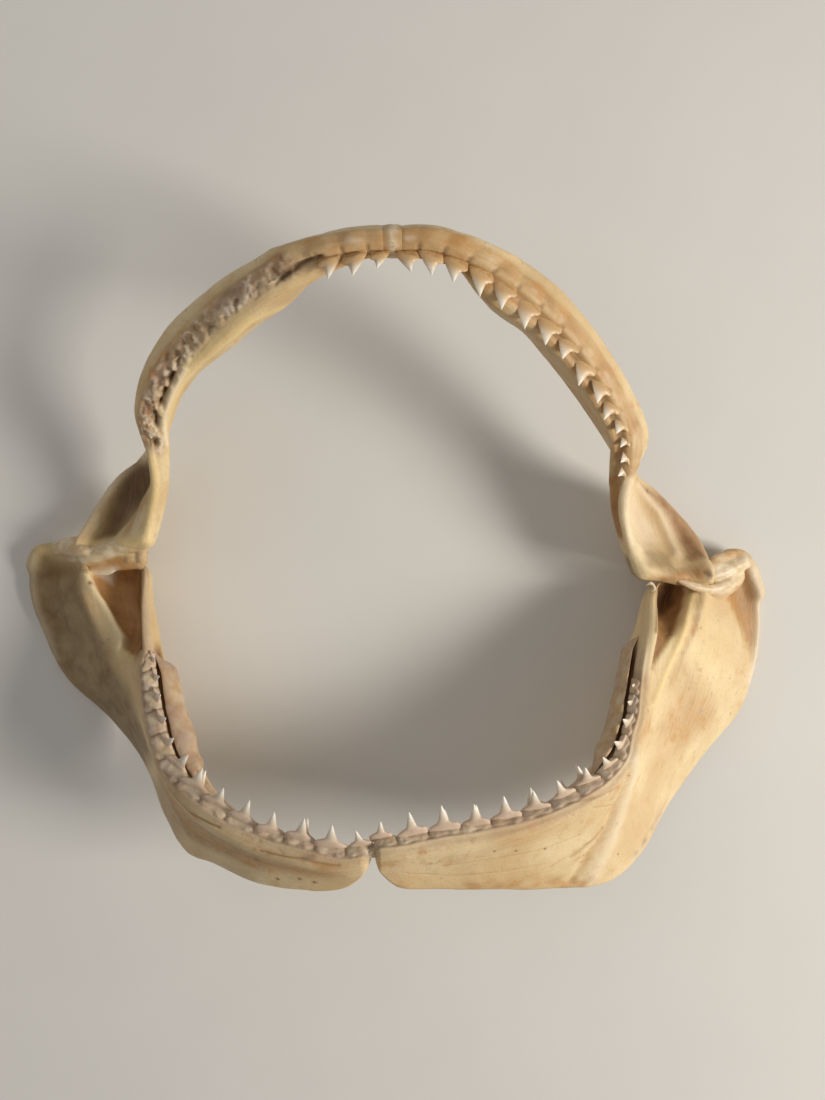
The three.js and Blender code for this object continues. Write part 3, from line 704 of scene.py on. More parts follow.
# The plain blade is a grid of rings. Each goes from the tooth edge down the labial face and up the other.
def layOut(half):
    form, rows, side = half["form"], np.array(half["stations"], float), half["side"]
    last = len(rows) - 1
    down = bladeGrid["crestPoints"] + bladeGrid["facePoints"] + bladeGrid["backPoints"]
    t, end, length = ringPlaces(rows)
    values = rail(rows, t)
    edge, back, stand = values[:, None, :3], values[:, None, 3:6], values[:, 6:8]
    station = (t * last)[:, None]
    depth = np.linalg.norm(back - edge, axis=-1)
    fall = unit(back - edge)
    forward = (np.gradient(values[:, :3], t, axis=0) / length
               + np.gradient(values[:, 3:6], t, axis=0) / length)
    labial = unit(np.cross(unit(forward)[:, None], fall)) * side

    thin = along(form["back"], station)
    crest = np.minimum(form["crest"], stand[:, :1])
    share = crossShares(depth, crest, thin)
    share = np.concatenate([share, share[:, -2:0:-1]], axis=1)
    face = np.concatenate([np.ones(down + 1), -np.ones(down - 1)])[None]
    shoulder = quarterRound(np.minimum(t, 1 - t) / end)[:, None]
    inset = (1 - shoulder) * bladeGrid["corner"]
    deep = inset + share * (depth - 2 * inset)
    full = np.where(face > 0, stand[:, :1], stand[:, 1:])
    full = thin + (full - thin) * (1 - smooth(deep / form["fade"]))
    rounded = quarterRound((deep - inset) / crest) * quarterRound((depth - deep - inset) / thin)
    offset = face * full * shoulder * rounded
    offset = offset + along(form["bow"], station) * 4 * (deep / depth) * (1 - deep / depth)
    for hollow in form["hollows"]:
        grown = np.clip((station - hollow["start"]) / (last - hollow["start"]), 0, 1)
        middle = hollow["at"][0] + (hollow["at"][1] - hollow["at"][0]) * grown
        spread = hollow["width"][0] + (hollow["width"][1] - hollow["width"][0]) * grown
        grown = smooth(grown * bladeGrid["hollowGrowth"])
        offset = offset + hollow["rise"] * grown * bell((deep / depth - middle) / spread)
    places = edge + fall * deep[..., None] + labial * offset[..., None]

    steps = np.linalg.norm(np.diff(places, axis=1, append=places[:, :1]), axis=-1)
    labialRun = np.concatenate([np.zeros((len(t), 1)), np.cumsum(steps[:, :down], axis=1)], axis=1)
    lingualRuns = np.cumsum(steps[:, ::-1], axis=1)
    around = np.concatenate([labialRun, -lingualRuns[:, :down - 1][:, ::-1]], axis=1)
    whole = np.where(face > 0, labialRun[:, -1:], lingualRuns[:, down - 1:down])
    arc = arcOf((values[:, :3] + values[:, 3:6]) / 2)
    return {"t": t, "station": station, "arc": arc[:, None], "edgeArc": arcOf(values[:, :3])[:, None],
            "around": around, "reach": np.abs(around) / whole, "face": face, "places": places, "side": side}


def outwards(grid, places):  # unit normals of a grid, pointing out
    lengthwise = np.gradient(places, axis=0)
    crosswise = np.roll(places, -1, axis=1) - np.roll(places, 1, axis=1)
    return unit(np.cross(lengthwise, crosswise)) * grid["side"]


markGrid = {"steps": 5, "softWidths": 4, "patchReach": 15}


def onFace(grid, spots, labial):  # (station, reach) spots joined in short steps, as places on that face
    spots = np.array(spots, float)
    steps = [np.linspace(a, b, markGrid["steps"], endpoint=False) for a, b in zip(spots, spots[1:])]
    fine = np.concatenate(steps + [spots[-1:]])
    columns = np.nonzero((grid["face"][0] > 0) == labial)[0]
    found = []
    for station, reach in fine:
        i = int(np.argmin(np.abs(grid["station"][:, 0] - station)))
        order = columns[np.argsort(grid["reach"][i, columns])]
        reaches, places = grid["reach"][i, order], grid["places"][i, order]
        found.append([np.interp(reach, reaches, places[:, c]) for c in range(3)])
    return np.array(found)


def away(points, line):  # distance of points from a broken line
    best = np.full(len(points), 1e6)
    for a, b in zip(line, line[1:]) if len(line) > 1 else [(line[0], line[0])]:
        run = b - a
        share = np.clip((points - a) @ run / max(run @ run, 1e-9), 0, 1)
        best = np.minimum(best, np.linalg.norm(points - a - share[:, None] * run, axis=1))
    return best


def within(x, y, corners):  # whether (x, y) lies inside a closed outline
    inside = np.zeros(x.shape, bool)
    for (x0, y0), (x1, y1) in zip(corners, corners[1:] + corners[:1]):
        crosses = (y0 > y) != (y1 > y)
        inside ^= crosses & (x < (x1 - x0) * (y - y0) / (y1 - y0 if y1 != y0 else 1e-9) + x0)
    return inside


def drawn(grid, mark):  # 1 on a mark, fading to 0 round it
    labial = mark.get("face", "labial") == "labial"
    spots = mark.get("line") or mark["patch"]
    line = onFace(grid, spots if "line" in mark else spots + spots[:1], labial)
    wide, places = mark["wide"], grid["places"]
    reach = markGrid["softWidths"] * wide + (0 if "line" in mark else markGrid["patchReach"])
    near = ((grid["face"] > 0) == labial) & np.all(places > line.min(0) - reach, axis=-1)
    near &= np.all(places < line.max(0) + reach, axis=-1)
    on = np.zeros(near.shape)
    gone = away(places[near], line)
    if "line" in mark:
        on[near] = bell(gone / wide)
    else:
        inside = within(grid["station"] + 0 * grid["reach"], grid["reach"], spots)[near]
        on[near] = smooth(0.5 + np.where(inside, gone, -gone) / wide)
    return on


toothKeys = ("pitch", "crown", "crownWidth", "lean", "rise", "set")


def toothPlaces(half):  # where each tooth of a row stands, and which way
    form, rows = half["form"], np.array(half["stations"], float)
    line = rail(rows[:, :3], np.linspace(0, 1, form["edgeSteps"]))
    arc = arcOf(line)
    heading = unit(np.gradient(line, axis=0))
    at, found = half["start"], []
    for k, share in enumerate(half["shares"]):
        tooth = {key: float(along(form[key], k)) for key in toothKeys}
        at += tooth["pitch"] / 2
        n = int(np.searchsorted(arc, at))
        level = unit(heading[n] * [1, 1, 0])
        inward = np.array([level[1], -level[0], 0])
        inward *= -np.sign(inward @ line[n])
        rise = math.radians(tooth["rise"])
        erect = inward * math.cos(rise) + np.array([0, 0, math.sin(rise)])
        lips = np.array([0, 0, math.cos(rise)]) - inward * math.sin(rise)
        foot = line[n] + erect * tooth["set"] + lips * form["proud"]
        found.append({"k": k, "arc": at, "pitch": tooth["pitch"], "foot": foot, "level": level,
                      "erect": erect, "lips": lips, "lean": tooth["lean"],
                      "tall": tooth["crown"] * share, "wide": tooth["crownWidth"] * tooth["pitch"]})
        at += tooth["pitch"] / 2
    return found


# A band is from, to and softness in millimetres round the blade from the tooth edge, the labial face
# above 0. Widths in root and gap are shares of a tooth's pitch, and sizes are those of the unevenness.
upperGum = {
    "root": {"width": 0.44, "lift": 0.6, "band": (1.0, 7.0, 3.0), "pale": 0.45, "paleAt": 2.6,
             "paleWidth": 1.2, "paleSize": 4, "highlightContrast": 1.8},
    "gap": {"width": 0.09, "reach": 0.75, "depth": 0.5, "band": (-2.5, 1.0, 2.0), "dark": 0.4,
            "gapShadeBand": (-2, 0.8, 1.5)},
    "lip": {"lift": [[0, 1.2], [3, 1.6], [7, 1.6], [8.3, 1.0], [9.6, 0.3]], "at": 0.2, "width": 2.6},
    "tan": {"least": 0.35, "more": 0.5, "size": 7, "band": (-1, 7.5, 5)},
    "groove": {"depth": 0.7, "band": (-5.5, -1.8, 2.0), "dark": 0.35, "size": 4, "amber": 0.6,
               "amberBand": (-8, -1, 4)},
    "rearGapShade": {"dark": 0.75, "band": (-4, 0.5, 2), "start": 7.6, "soft": 0.8},
    "shelf": {"lift": 0.4, "at": 8, "width": 2.0},
    "back": {"amber": 0.3, "band": (-40, -9, 4), "end": 9.5, "size": 12},
    "plate": {"start": 9.4, "lift": 0.35, "size": 8},
    "rowEnd": 5,
}
bareBed = {
    "soft": 0.5, "band": (-5.0, 5.0, 2.5), "crumbs": 0.8, "crumbSize": 2.7,
    "folds": 1.5, "foldSize": 4.0, "foldStretch": [1, 1, 0.7], "foldDepth": 1.4, "foldLevel": 0.6,
    "pits": 1.1, "pitSize": 3.0, "pitLevel": 0.36, "pitSoft": 0.25, "pitWidth": 3.0,
    "dark": 0.6, "foldDark": 0.7, "creaseUnder": 0.3, "creaseSoft": 0.25, "pitAt": -0.5,
    "gum": 0.5, "gumMore": 0.4, "gumSize": 6,
    "pale": 0.8, "paleSize": 7, "paleLevel": 0.65, "ridgeOver": 0.74, "ridgeSoft": 0.16,
}
lowerGum = {
    "wave": 0.5, "waveSize": 9, "soft": 0.9, "rowEnd": 0.8, "inner": -3,
    "lobes": {"at": 0.27, "width": 0.15, "inset": 0.9, "drop": 0.8},
    "mound": {"lift": 0.9, "band": (-2.5, 12, 1.5), "soft": 0.07, "least": 0.72, "more": 0.28, "pale": 0.5,
              "paleSize": 2.8, "paleLevel": 0.6, "paleMore": 0.8},
    "gap": {"width": 0.06, "reach": 0.7, "dark": 0.35},
    "lip": {"lift": 0.55, "at": 0.6, "width": 0.8},
    "crumbs": {"lift": 0.42, "size": 2.2},
    "pink": {"share": 0.75, "size": 4, "level": 0.8, "more": 0.4,
             "edges": [(0.8, 0.2, 0.75), (0.3, 2.2, 1.6)]},
    "creaseShade": {"dark": 0.35, "at": 0.9, "width": 0.45},
    "tan": {"amber": 0.45, "band": (3, 14, 6), "size": 11},
    "crevice": {"depth": 2.0, "band": (-7.0, -2.2, 2.0), "start": 5.2, "soft": 1.8, "dark": 0.6,
                "darkStart": 4.6, "darkSoft": 2.0, "amber": 0.9, "least": 0.25, "more": 0.75},
    "inside": {"gum": 0.5, "band": (-18, -1.5, 3), "end": 5, "soft": 1.5},
}


def addTo(field, key, amount):
    field[key] = np.maximum(field[key], amount)


def patchStrength(places, size, seed):  # how strong a stain, or the painted shade in the dental groove, is from place to place
    return 0.6 + 0.4 * lumps(places, size, seed)


def upperSurface(half, grid, field):
    around, edgeArc, station, places = (grid[key] for key in ("around", "edgeArc", "station", "places"))
    gum, seed, last = upperGum, half["seed"], half["teeth"][-1]
    bare = between(station, *half["bare"], bareBed["soft"]) if "bare" in half else 0 * station
    rooted, gap = 0, 0
    for tooth in half["teeth"]:
        across = (edgeArc - tooth["arc"]) / tooth["pitch"]
        rooted = np.maximum(rooted, bell(across / gum["root"]["width"]))
        beside = np.abs(across) < gum["gap"]["reach"]
        gap = np.maximum(gap, bell((np.abs(across) - 0.5) / gum["gap"]["width"]) * beside)
    inRow = (1 - smooth((edgeArc - last["arc"] - last["pitch"] / 2) / gum["rowEnd"])) * (1 - bare)

    part = gum["root"]
    field["lift"] += part["lift"] * rooted * between(around, *part["band"]) * inRow
    part = gum["lip"]
    field["lift"] += along(part["lift"], station) * bell((around - part["at"]) / part["width"]) * inRow
    part = gum["gap"]
    field["lift"] -= part["depth"] * gap * between(around, *part["band"]) * inRow
    part = gum["tan"]
    # browner near the crowns: partly the gum's own tan, partly painted shade at the sides of the crowns
    brown = part["least"] + part["more"] * (0.5 + 0.5 * lumps(places, part["size"], seed + 3))
    addTo(field, "amber", brown * between(around, *part["band"]) * (inRow + bare))
    part = gum["gap"]
    # painted shade in the gaps between the crowns
    addTo(field, "dark", part["dark"] * gap * between(around, *part["gapShadeBand"]) * inRow)
    part = gum["root"]
    # painted highlights: pale glints on the gum over each root, at the crowns' shoulders
    patches = smooth(part["highlightContrast"] * lumps(places, part["paleSize"], seed + 9))
    rootHighlight = bell((around - part["paleAt"]) / part["paleWidth"])
    addTo(field, "pale", part["pale"] * rooted * rootHighlight * inRow * patches)
    part = gum["groove"]  # the dental groove behind the row, under dried skin, darkened with painted shade and browned behind the teeth
    groove = between(around, *part["band"])
    field["lift"] -= part["depth"] * groove * inRow
    addTo(field, "dark", part["dark"] * groove * patchStrength(places, part["size"], seed + 5) * inRow)
    addTo(field, "amber", part["amber"] * between(around, *part["amberBand"]) * inRow)
    part = gum["rearGapShade"]
    # painted shade, stronger in the gaps between the rear crowns
    rear = smooth((station - part["start"]) / part["soft"])
    addTo(field, "dark", part["dark"] * gap * between(around, *part["band"]) * rear * inRow)
    part = gum["shelf"]
    field["lift"] += part["lift"] * bell((around + part["at"]) / part["width"]) * inRow
    part = gum["back"]
    stains = patchStrength(places, part["size"], seed) * (station < part["end"])
    addTo(field, "amber", part["amber"] * between(around, *part["band"]) * stains)
    if "bare" in half:
        emptyBed(places, around, bare, seed, field)
    part = gum["plate"]
    plate = smooth(station - part["start"]) * (grid["face"] > 0)
    field["lift"] += part["lift"] * plate * roughLumps(places, part["size"], seed + 6)


def emptyBed(places, around, bare, seed, field):  # the crumbled, pitted bed of lost crowns
    bed = bareBed
    strip = between(around, *bed["band"]) * bare
    crumbs = roughLumps(places, bed["crumbSize"], seed + 7)
    folds = roughLumps(places * bed["foldStretch"], bed["foldSize"], seed + 9)
    folds = 1 - np.abs(folds) * bed["foldDepth"]
    field["lift"] += strip * (bed["crumbs"] * crumbs + bed["folds"] * (folds - bed["foldLevel"]))
    pits = smooth((lumps(places, bed["pitSize"], seed + 4) - bed["pitLevel"]) / bed["pitSoft"])
    pits = pits * bell((around - bed["pitAt"]) / bed["pitWidth"]) * bare
    field["lift"] -= bed["pits"] * pits
    pink = bed["gum"] + bed["gumMore"] * lumps(places, bed["gumSize"], seed + 2)
    addTo(field, "gum", strip * np.clip(pink, 0, 1))
    # painted shade darkens the pits and the creases between folds
    foldShade = bed["foldDark"] * strip * smooth((bed["creaseUnder"] - folds) / bed["creaseSoft"])
    addTo(field, "dark", np.clip(pits + foldShade, 0, 1) * bed["dark"])
    # painted highlights on the fold ridges
    patches = smooth(bed["paleLevel"] + lumps(places, bed["paleSize"], seed))
    ridgeHighlights = smooth((folds - bed["ridgeOver"]) / bed["ridgeSoft"])
    addTo(field, "pale", bed["pale"] * strip * ridgeHighlights * patches)


def lowerSurface(half, grid, field):
    around, edgeArc, station, places = (grid[key] for key in ("around", "edgeArc", "station", "places"))
    gum, seed = lowerGum, half["seed"]
    mound, gap = 0, 0
    wave = lumps(np.stack([edgeArc + 0 * around, 0 * around, 0 * around], -1), gum["waveSize"], seed + 1)
    line = along(half["gumLine"], station) + gum["wave"] * wave
    for tooth in half["teeth"]:
        across = np.abs(edgeArc - tooth["arc"]) / tooth["pitch"]
        lobes = bell((across - gum["lobes"]["at"]) / gum["lobes"]["width"])
        low = line - gum["lobes"]["inset"] + gum["lobes"]["drop"] * lobes
        part = gum["mound"]
        raised = smooth((0.5 - across) / part["soft"]) * smooth((low - around) / gum["soft"] + 0.5)
        mound = np.maximum(mound, raised * (part["least"] + part["more"] * lobes))
        part = gum["gap"]
        gap = np.maximum(gap, bell((across - 0.5) / part["width"]) * (across < part["reach"]))
    fade = 1 - smooth((station - half["gumEnd"]) / gum["rowEnd"])
    inRow = (around > gum["inner"]) * fade
    inGum = smooth((line - around) / gum["soft"] + 0.5) * inRow

    part = gum["mound"]
    field["lift"] += part["lift"] * mound * between(around, *part["band"]) * fade
    pale = part["paleLevel"] + part["paleMore"] * lumps(places, part["paleSize"], seed + 6)
    addTo(field, "pale", part["pale"] * mound * inRow * np.clip(pale, 0, 1))
    part = gum["lip"]
    field["lift"] += part["lift"] * bell((around - line - part["at"]) / part["width"]) * fade
    part = gum["crumbs"]
    field["lift"] += part["lift"] * inGum * roughLumps(places, part["size"], seed + 5)
    part = gum["pink"]
    pink = part["level"] + part["more"] * lumps(places, part["size"], seed + 2)
    addTo(field, "gum", part["share"] * inGum * np.clip(pink, 0, 1))
    for share, at, width in part["edges"]:
        addTo(field, "gum", share * bell((around - line - at) / width) * fade)
    # painted shade in the gaps between the root mounds
    addTo(field, "dark", gum["gap"]["dark"] * gap * inGum)
    # painted shade along the crease just inside the gum line
    part = gum["creaseShade"]
    creaseShade = bell((around - line + part["at"]) / part["width"])
    addTo(field, "dark", part["dark"] * creaseShade * fade * smooth(0.5 + wave))
    part = gum["tan"]
    stains = patchStrength(places, part["size"], seed + 7)
    addTo(field, "amber", part["amber"] * between(around, *part["band"]) * fade * stains)
    part = gum["crevice"]
    opening = part["least"] + part["more"] * smooth((station - part["start"]) / part["soft"])
    deep = between(around, *part["band"]) * fade * opening
    field["lift"] -= part["depth"] * deep
    # the crevice is darkened with painted shade; its amber is the crevice's own orange-brown
    addTo(field, "dark", part["dark"] * deep * smooth((station - part["darkStart"]) / part["darkSoft"]))
    addTo(field, "amber", part["amber"] * deep)
    part = gum["inside"]
    front = 1 - smooth((station - part["end"]) / part["soft"])
    addTo(field, "gum", part["gum"] * between(around, *part["band"]) * fade * front)


# of these, dark and olive are mostly painted shade, and pale and cream partly painted highlight
colours = ("amber", "gum", "pale", "cream", "dark", "olive", "gloss")
markBreaks = {"level": 0.6, "size": 3.5}


def drawMarks(half, grid, field):  # lines and patches that only this half has
    for mark in half["marks"]:
        on = drawn(grid, mark)
        if "broken" in mark:
            breaks = lumps(grid["places"], markBreaks["size"], half["seed"] + 8)
            on = on * smooth(markBreaks["level"] + mark["broken"] * breaks)
        field["lift"] += mark.get("lift", 0) * on
        for key in colours:
            if mark.get(key, 0) > 0:
                addTo(field, key, mark[key] * on)
            elif key in mark:
                field[key] *= 1 + mark[key] * on


bladeSkin = {"uneven": [(0.45, 21), (0.16, 7), (0.05, 2.6)], "ends": 40}  # heights and sizes of its lumps


def makeBlade(half):
    grid = layOut(half)
    half["grid"], half["teeth"] = grid, toothPlaces(half)
    places = grid["places"]
    field = {key: np.zeros(places.shape[:2]) for key in ("lift",) + colours}
    for number, (height, size) in enumerate(bladeSkin["uneven"]):
        field["lift"] += height * lumps(places, size, half["seed"] + number)
    (upperSurface if half["form"] is upperForm else lowerSurface)(half, grid, field)
    drawMarks(half, grid, field)
    ends = quarterRound(np.minimum(grid["t"], 1 - grid["t"])[:, None] * bladeSkin["ends"])
    solid = places + outwards(grid, places) * (field.pop("lift") * ends)[..., None]
    solid[..., 2] = np.maximum(solid[..., 2], 0)
    grid["solid"] = solid
    shades = {key: np.clip(value, 0, 1) for key, value in field.items()}
    shades["runs"], shades["falls"] = grid["arc"] + 0 * grid["around"], np.abs(grid["around"])
    faces = tubeFaces(*solid.shape[:2])
    piece = makeMesh(half["node"] + "_cartilage", solid.reshape(-1, 3), faces, shades)
    piece.data.materials.append(cartilage)
    return piece


blades = [makeBlade(half) for half in halves]
print("blades made:", sum(len(b.data.polygons) for b in blades), "faces")


# Profiles run from the root, below 0, to the tip at 1. A series has one crown after another from the
# lips inwards: how far back, how far sunk, folded by how many degrees, and its size.
upperTooth = {
    "tall": 12.0, "wide": 10.4, "thick": 3.2, "root": 2.5, "shear": 18, "serration": 0.07, "bend": 0.8,
    "sink": 1.7, "neck": 0.26,
    "mesial": [[-0.34, 0.82], [0, 1], [0.26, 1], [0.4, 0.86], [0.6, 0.6], [0.8, 0.31], [1, 0.02]],
    "distal": [[-0.34, 0.82], [0, 1], [0.3, 1.02], [0.38, 0.86], [0.44, 0.58], [0.52, 0.4], [0.7, 0.24],
               [1, 0.02]],
    "body": [[-0.34, 0.1], [-0.1, 0.5], [0.1, 0.85], [0.28, 1.1], [0.5, 0.9], [0.8, 0.5], [1, 0.06]],
    "series": [(0, 0, 0, 1)], "spare": 0, "grow": 1.08, "tanned": 1,
}
lowerTooth = {
    "tall": 10.0, "wide": 10.6, "thick": 3.2, "root": 3.4, "shear": 3, "serration": 0.03, "bend": -0.7,
    "sink": 0.5, "neck": 0.34,
    "mesial": [[-0.34, 0.86], [-0.1, 1], [0.08, 1], [0.17, 0.84], [0.24, 0.56], [0.31, 0.37], [0.48, 0.27],
               [0.7, 0.18], [0.88, 0.1], [1, 0.02]],
    "distal": [[-0.34, 0.86], [-0.1, 1], [0.08, 1], [0.19, 0.86], [0.26, 0.58], [0.33, 0.38], [0.5, 0.27],
               [0.72, 0.18], [0.88, 0.1], [1, 0.02]],
    "body": [[-0.34, 0.3], [-0.1, 0.75], [0.1, 0.9], [0.25, 0.75], [0.4, 0.58], [0.8, 0.42], [1, 0.06]],
    "series": [(0, 0, 0, 1), (2.3, 1.9, 20, 0.84), (5.2, 5.2, 55, 0.8)],
    "spare": 0.6, "grow": 1.0, "tanned": 0,
}
toothGrid = {
    "rings": 34, "rootRings": 7, "sides": 9, "forms": 5, "widths": (0.94, 1.06),
    "lumps": 0.16, "lumpSize": 2.4,
    "lipSide": 0.75, "tongueSide": 1.1, "neckArch": 0.1, "neckSoft": 0.12,
    "serrationTo": 0.95, "serrationSoft": 0.1, "roundness": (0.5, 0.9), "sinkUnder": 0.34, "sinkSoft": 0.6,
    "rootMiddle": 0.62, "rootLobes": 0.5, "lobeShape": 1.5, "lumpsFade": 1.2, "footHollow": 0.3,
    "spareFrom": 2, "spareTo": 7, "spareShift": 1.1, "plumpness": 1.25,
}


def toothForm(name, form, side, draw):  # x to the hinge, y to the lips, z to the tip
    under = np.linspace(-form["root"] / form["tall"], 0, toothGrid["rootRings"] + 1)[:-1]
    heights = np.concatenate([under, np.linspace(0, 1, toothGrid["rings"] - toothGrid["rootRings"])])
    wide = form["wide"] / 2 * draw.uniform(*toothGrid["widths"])
    profiles = [np.array(form[key]).T for key in ("mesial", "distal", "body")]
    mesial, distal, body = (np.interp(heights, *profile) for profile in profiles)
    zigzag = np.where(np.arange(len(heights)) % 2, 1, -1)
    serrated = between(heights, form["neck"], toothGrid["serrationTo"], toothGrid["serrationSoft"])
    teeth = form["serration"] * zigzag * serrated
    across = np.sin(np.linspace(-np.pi / 2, np.pi / 2, toothGrid["sides"]))
    ring = np.concatenate([across, across[-2:0:-1]])
    lips = np.concatenate([np.ones(len(across)), -np.ones(len(across) - 2)])
    h = heights[:, None]
    extent = np.where(ring > 0, (distal * wide + teeth)[:, None], (mesial * wide + teeth)[:, None])
    x = ring * extent + np.tan(math.radians(form["shear"])) * np.maximum(h, 0) * form["tall"]
    roundness = np.where(h < form["neck"], *toothGrid["roundness"])
    bulge = np.maximum(1 - np.abs(ring) ** 2, 0) ** roundness
    y = lips * bulge * body[:, None] * form["thick"] / 2
    y = y * np.where(lips > 0, toothGrid["lipSide"], toothGrid["tongueSide"])
    sunk = form["sink"] * smooth((toothGrid["sinkUnder"] - h) / toothGrid["sinkSoft"])
    y = y + form["bend"] * h * np.abs(h) - sunk
    lobes = toothGrid["rootMiddle"] + toothGrid["rootLobes"] * np.abs(ring) ** toothGrid["lobeShape"]
    z = h * form["tall"] * np.where(h < 0, lobes, 1) + 0 * ring
    points = np.stack([x, y * side, z], -1)
    uneven = lumps(points + draw.uniform(0, 50), toothGrid["lumpSize"])
    uneven = toothGrid["lumps"] * uneven[..., None]
    points += uneven * (1 - smooth(h * toothGrid["lumpsFade"]))[..., None]

    count, around = points.shape[0] * points.shape[1], points.shape[1]
    foot, tip = points[0].mean(0) + [0, 0, toothGrid["footHollow"] * form["root"]], points[-1].mean(0)
    faces = tubeFaces(*points.shape[:2], closeEnds=False)
    faces += [((j + 1) % around, j, count) for j in range(around)]
    faces += [(count - around + j, count - around + (j + 1) % around, count + 1) for j in range(around)]
    neckline = form["neck"] - toothGrid["neckArch"] * (1 - ring**2)
    painted = {"enamel": np.append(smooth((h - neckline) / toothGrid["neckSoft"]), [0, 1]),
               "height": np.append(h + 0 * ring, [0, 1]),
               "tanned": np.full(count + 2, form["tanned"] * draw.uniform(0.8, 1))}
    return makeMesh(name, np.vstack([points.reshape(-1, 3), foot, tip]), faces, painted)


placing = {"inputs": [("Forms", "Collection", None), ("Scale", "Float", 1.0),
                      ("Uneven size", "Float", 0.09), ("Wobble", "Float", 0.09), ("Seed", "Int", 3),
                      ("Finish", "Material", None)]}


def placingTree():  # forms from a collection set on points that carry which, turn and size
    group = bpy.data.node_groups.new("setInPlace", "GeometryNodeTree")
    face = group.interface
    face.new_socket(name="Places", in_out="INPUT", socket_type="NodeSocketGeometry")
    for name, kind, default in placing["inputs"]:
        socket = face.new_socket(name=name, in_out="INPUT", socket_type="NodeSocket" + kind)
        if default is not None:
            socket.default_value = default
    face.new_socket(name="Teeth", in_out="OUTPUT", socket_type="NodeSocketGeometry")
    w = Wiring(group)
    given = group.nodes.new("NodeGroupInput")

    def take(name):
        return Wire(w, given.outputs[name])

    def named(key, kind):
        return w.node("GeometryNodeInputNamedAttribute", {"data_type": kind}, {"Name": key})

    def scaled(vector, scale):
        return w.node("ShaderNodeVectorMath", {"operation": "SCALE"}, {0: vector, "Scale": scale})

    forms = w.node("GeometryNodeCollectionInfo", {"transform_space": "ORIGINAL"},
                   {"Collection": take("Forms"), "Separate Children": True, "Reset Children": True})
    even = w.node("FunctionNodeRandomValue", {"data_type": "FLOAT"},
                  {"Min": -1.0, "Max": 1.0, "Seed": take("Seed")}, out=1)
    size = scaled(named("size", "FLOAT_VECTOR"), take("Scale") + even * take("Uneven size"))
    turn = w.node("FunctionNodeEulerToRotation", {}, {0: named("turn", "FLOAT_VECTOR")})
    tilt = w.node("FunctionNodeRandomValue", {"data_type": "FLOAT_VECTOR"},
                  {"Min": (-1, -1, -1), "Max": (1, 1, 1), "Seed": take("Seed") + 5})
    tilt = w.node("FunctionNodeEulerToRotation", {}, {0: scaled(tilt, take("Wobble"))})
    turn = w.node("FunctionNodeRotateRotation", {"rotation_space": "LOCAL"},
                  {"Rotation": turn, "Rotate By": tilt})
    placed = w.node("GeometryNodeInstanceOnPoints", {},
                    {"Points": take("Places"), "Instance": forms, "Pick Instance": True,
                     "Instance Index": named("which", "INT"), "Rotation": turn, "Scale": size})
    joined = w.node("GeometryNodeRealizeInstances", {}, {"Geometry": placed})
    finished = w.node("GeometryNodeSetMaterial", {}, {"Geometry": joined, "Material": take("Finish")})
    output = group.nodes.new("NodeGroupOutput")
    group.links.new(finished.socket, output.inputs["Teeth"])
    return group


def setInPlace(name, tree, forms, places, finish, seed):
    mesh = bpy.data.meshes.new(name)
    mesh.from_pydata([list(p["foot"] * metre) for p in places], [], [])
    turns = [list(Matrix(np.column_stack(p["axes"]).tolist()).to_euler()) for p in places]
    sizes = [p["size"] for p in places]
    mesh.attributes.new("which", "INT", "POINT").data.foreach_set("value", [p["which"] for p in places])
    mesh.attributes.new("turn", "FLOAT_VECTOR", "POINT").data.foreach_set("vector", np.ravel(turns))
    mesh.attributes.new("size", "FLOAT_VECTOR", "POINT").data.foreach_set("vector", np.ravel(sizes))
    piece = bpy.data.objects.new(name, mesh)
    bpy.context.scene.collection.objects.link(piece)
    shelf = bpy.data.collections.new(name + "Forms")
    bpy.context.scene.collection.children.link(shelf)
    for form in forms:
        bpy.context.scene.collection.objects.unlink(form)
        shelf.objects.link(form)
    setter = piece.modifiers.new("setInPlace", "NODES")
    setter.node_group = tree
    given = {"Forms": shelf, "Finish": finish, "Seed": seed}
    for item in tree.interface.items_tree:
        if item.item_type == "SOCKET" and item.name in given:
            setter[item.identifier] = given[item.name]
    settle(piece)
    for form in forms:
        bpy.data.objects.remove(form)
    bpy.data.collections.remove(shelf)
    piece.data.shade_smooth()
    return piece


def rowPlaces(half, form, draw):  # the standing crowns, and younger ones folded behind some of them
    places = []
    for tooth in half["teeth"]:
        lean = math.radians(tooth["lean"] - form["shear"])
        younger = toothGrid["spareFrom"] <= tooth["k"] <= toothGrid["spareTo"]
        for back, sink, fold, size in form["series"]:
            if back and not (younger and draw.random() < form["spare"]):
                continue
            fold = math.radians(fold)
            aside = tooth["level"] * (draw.normal(0, toothGrid["spareShift"]) if back else 0)
            up = tooth["erect"] * math.cos(fold) - tooth["lips"] * math.sin(fold)
            y = np.cross(up, tooth["level"])
            z = up * math.cos(lean) + tooth["level"] * math.sin(lean)
            tall = tooth["tall"] / form["tall"] * size * form["grow"]
            thick = min(1, tall * toothGrid["plumpness"]) * size
            places.append({"foot": tooth["foot"] + aside - tooth["lips"] * back - tooth["erect"] * sink,
                           "axes": (unit(np.cross(y, z)), y, z), "hand": np.sign(y @ tooth["lips"]),
                           "size": (tooth["wide"] / form["wide"] * size, thick, tall),
                           "which": int(draw.integers(toothGrid["forms"]))})
    return places


def makeRow(half, tree):
    draw = np.random.default_rng(half["seed"])
    form = upperTooth if half["form"] is upperForm else lowerTooth
    places = rowPlaces(half, form, draw)
    forms = [toothForm(f"form{n}", form, places[0]["hand"], draw) for n in range(toothGrid["forms"])]
    return setInPlace(half["node"] + "_teeth", tree, forms, places, enamel, half["seed"])


tree = placingTree()
rows = [makeRow(half, tree) for half in halves]
print("tooth rows set:", sum(len(r.data.polygons) for r in rows), "faces")


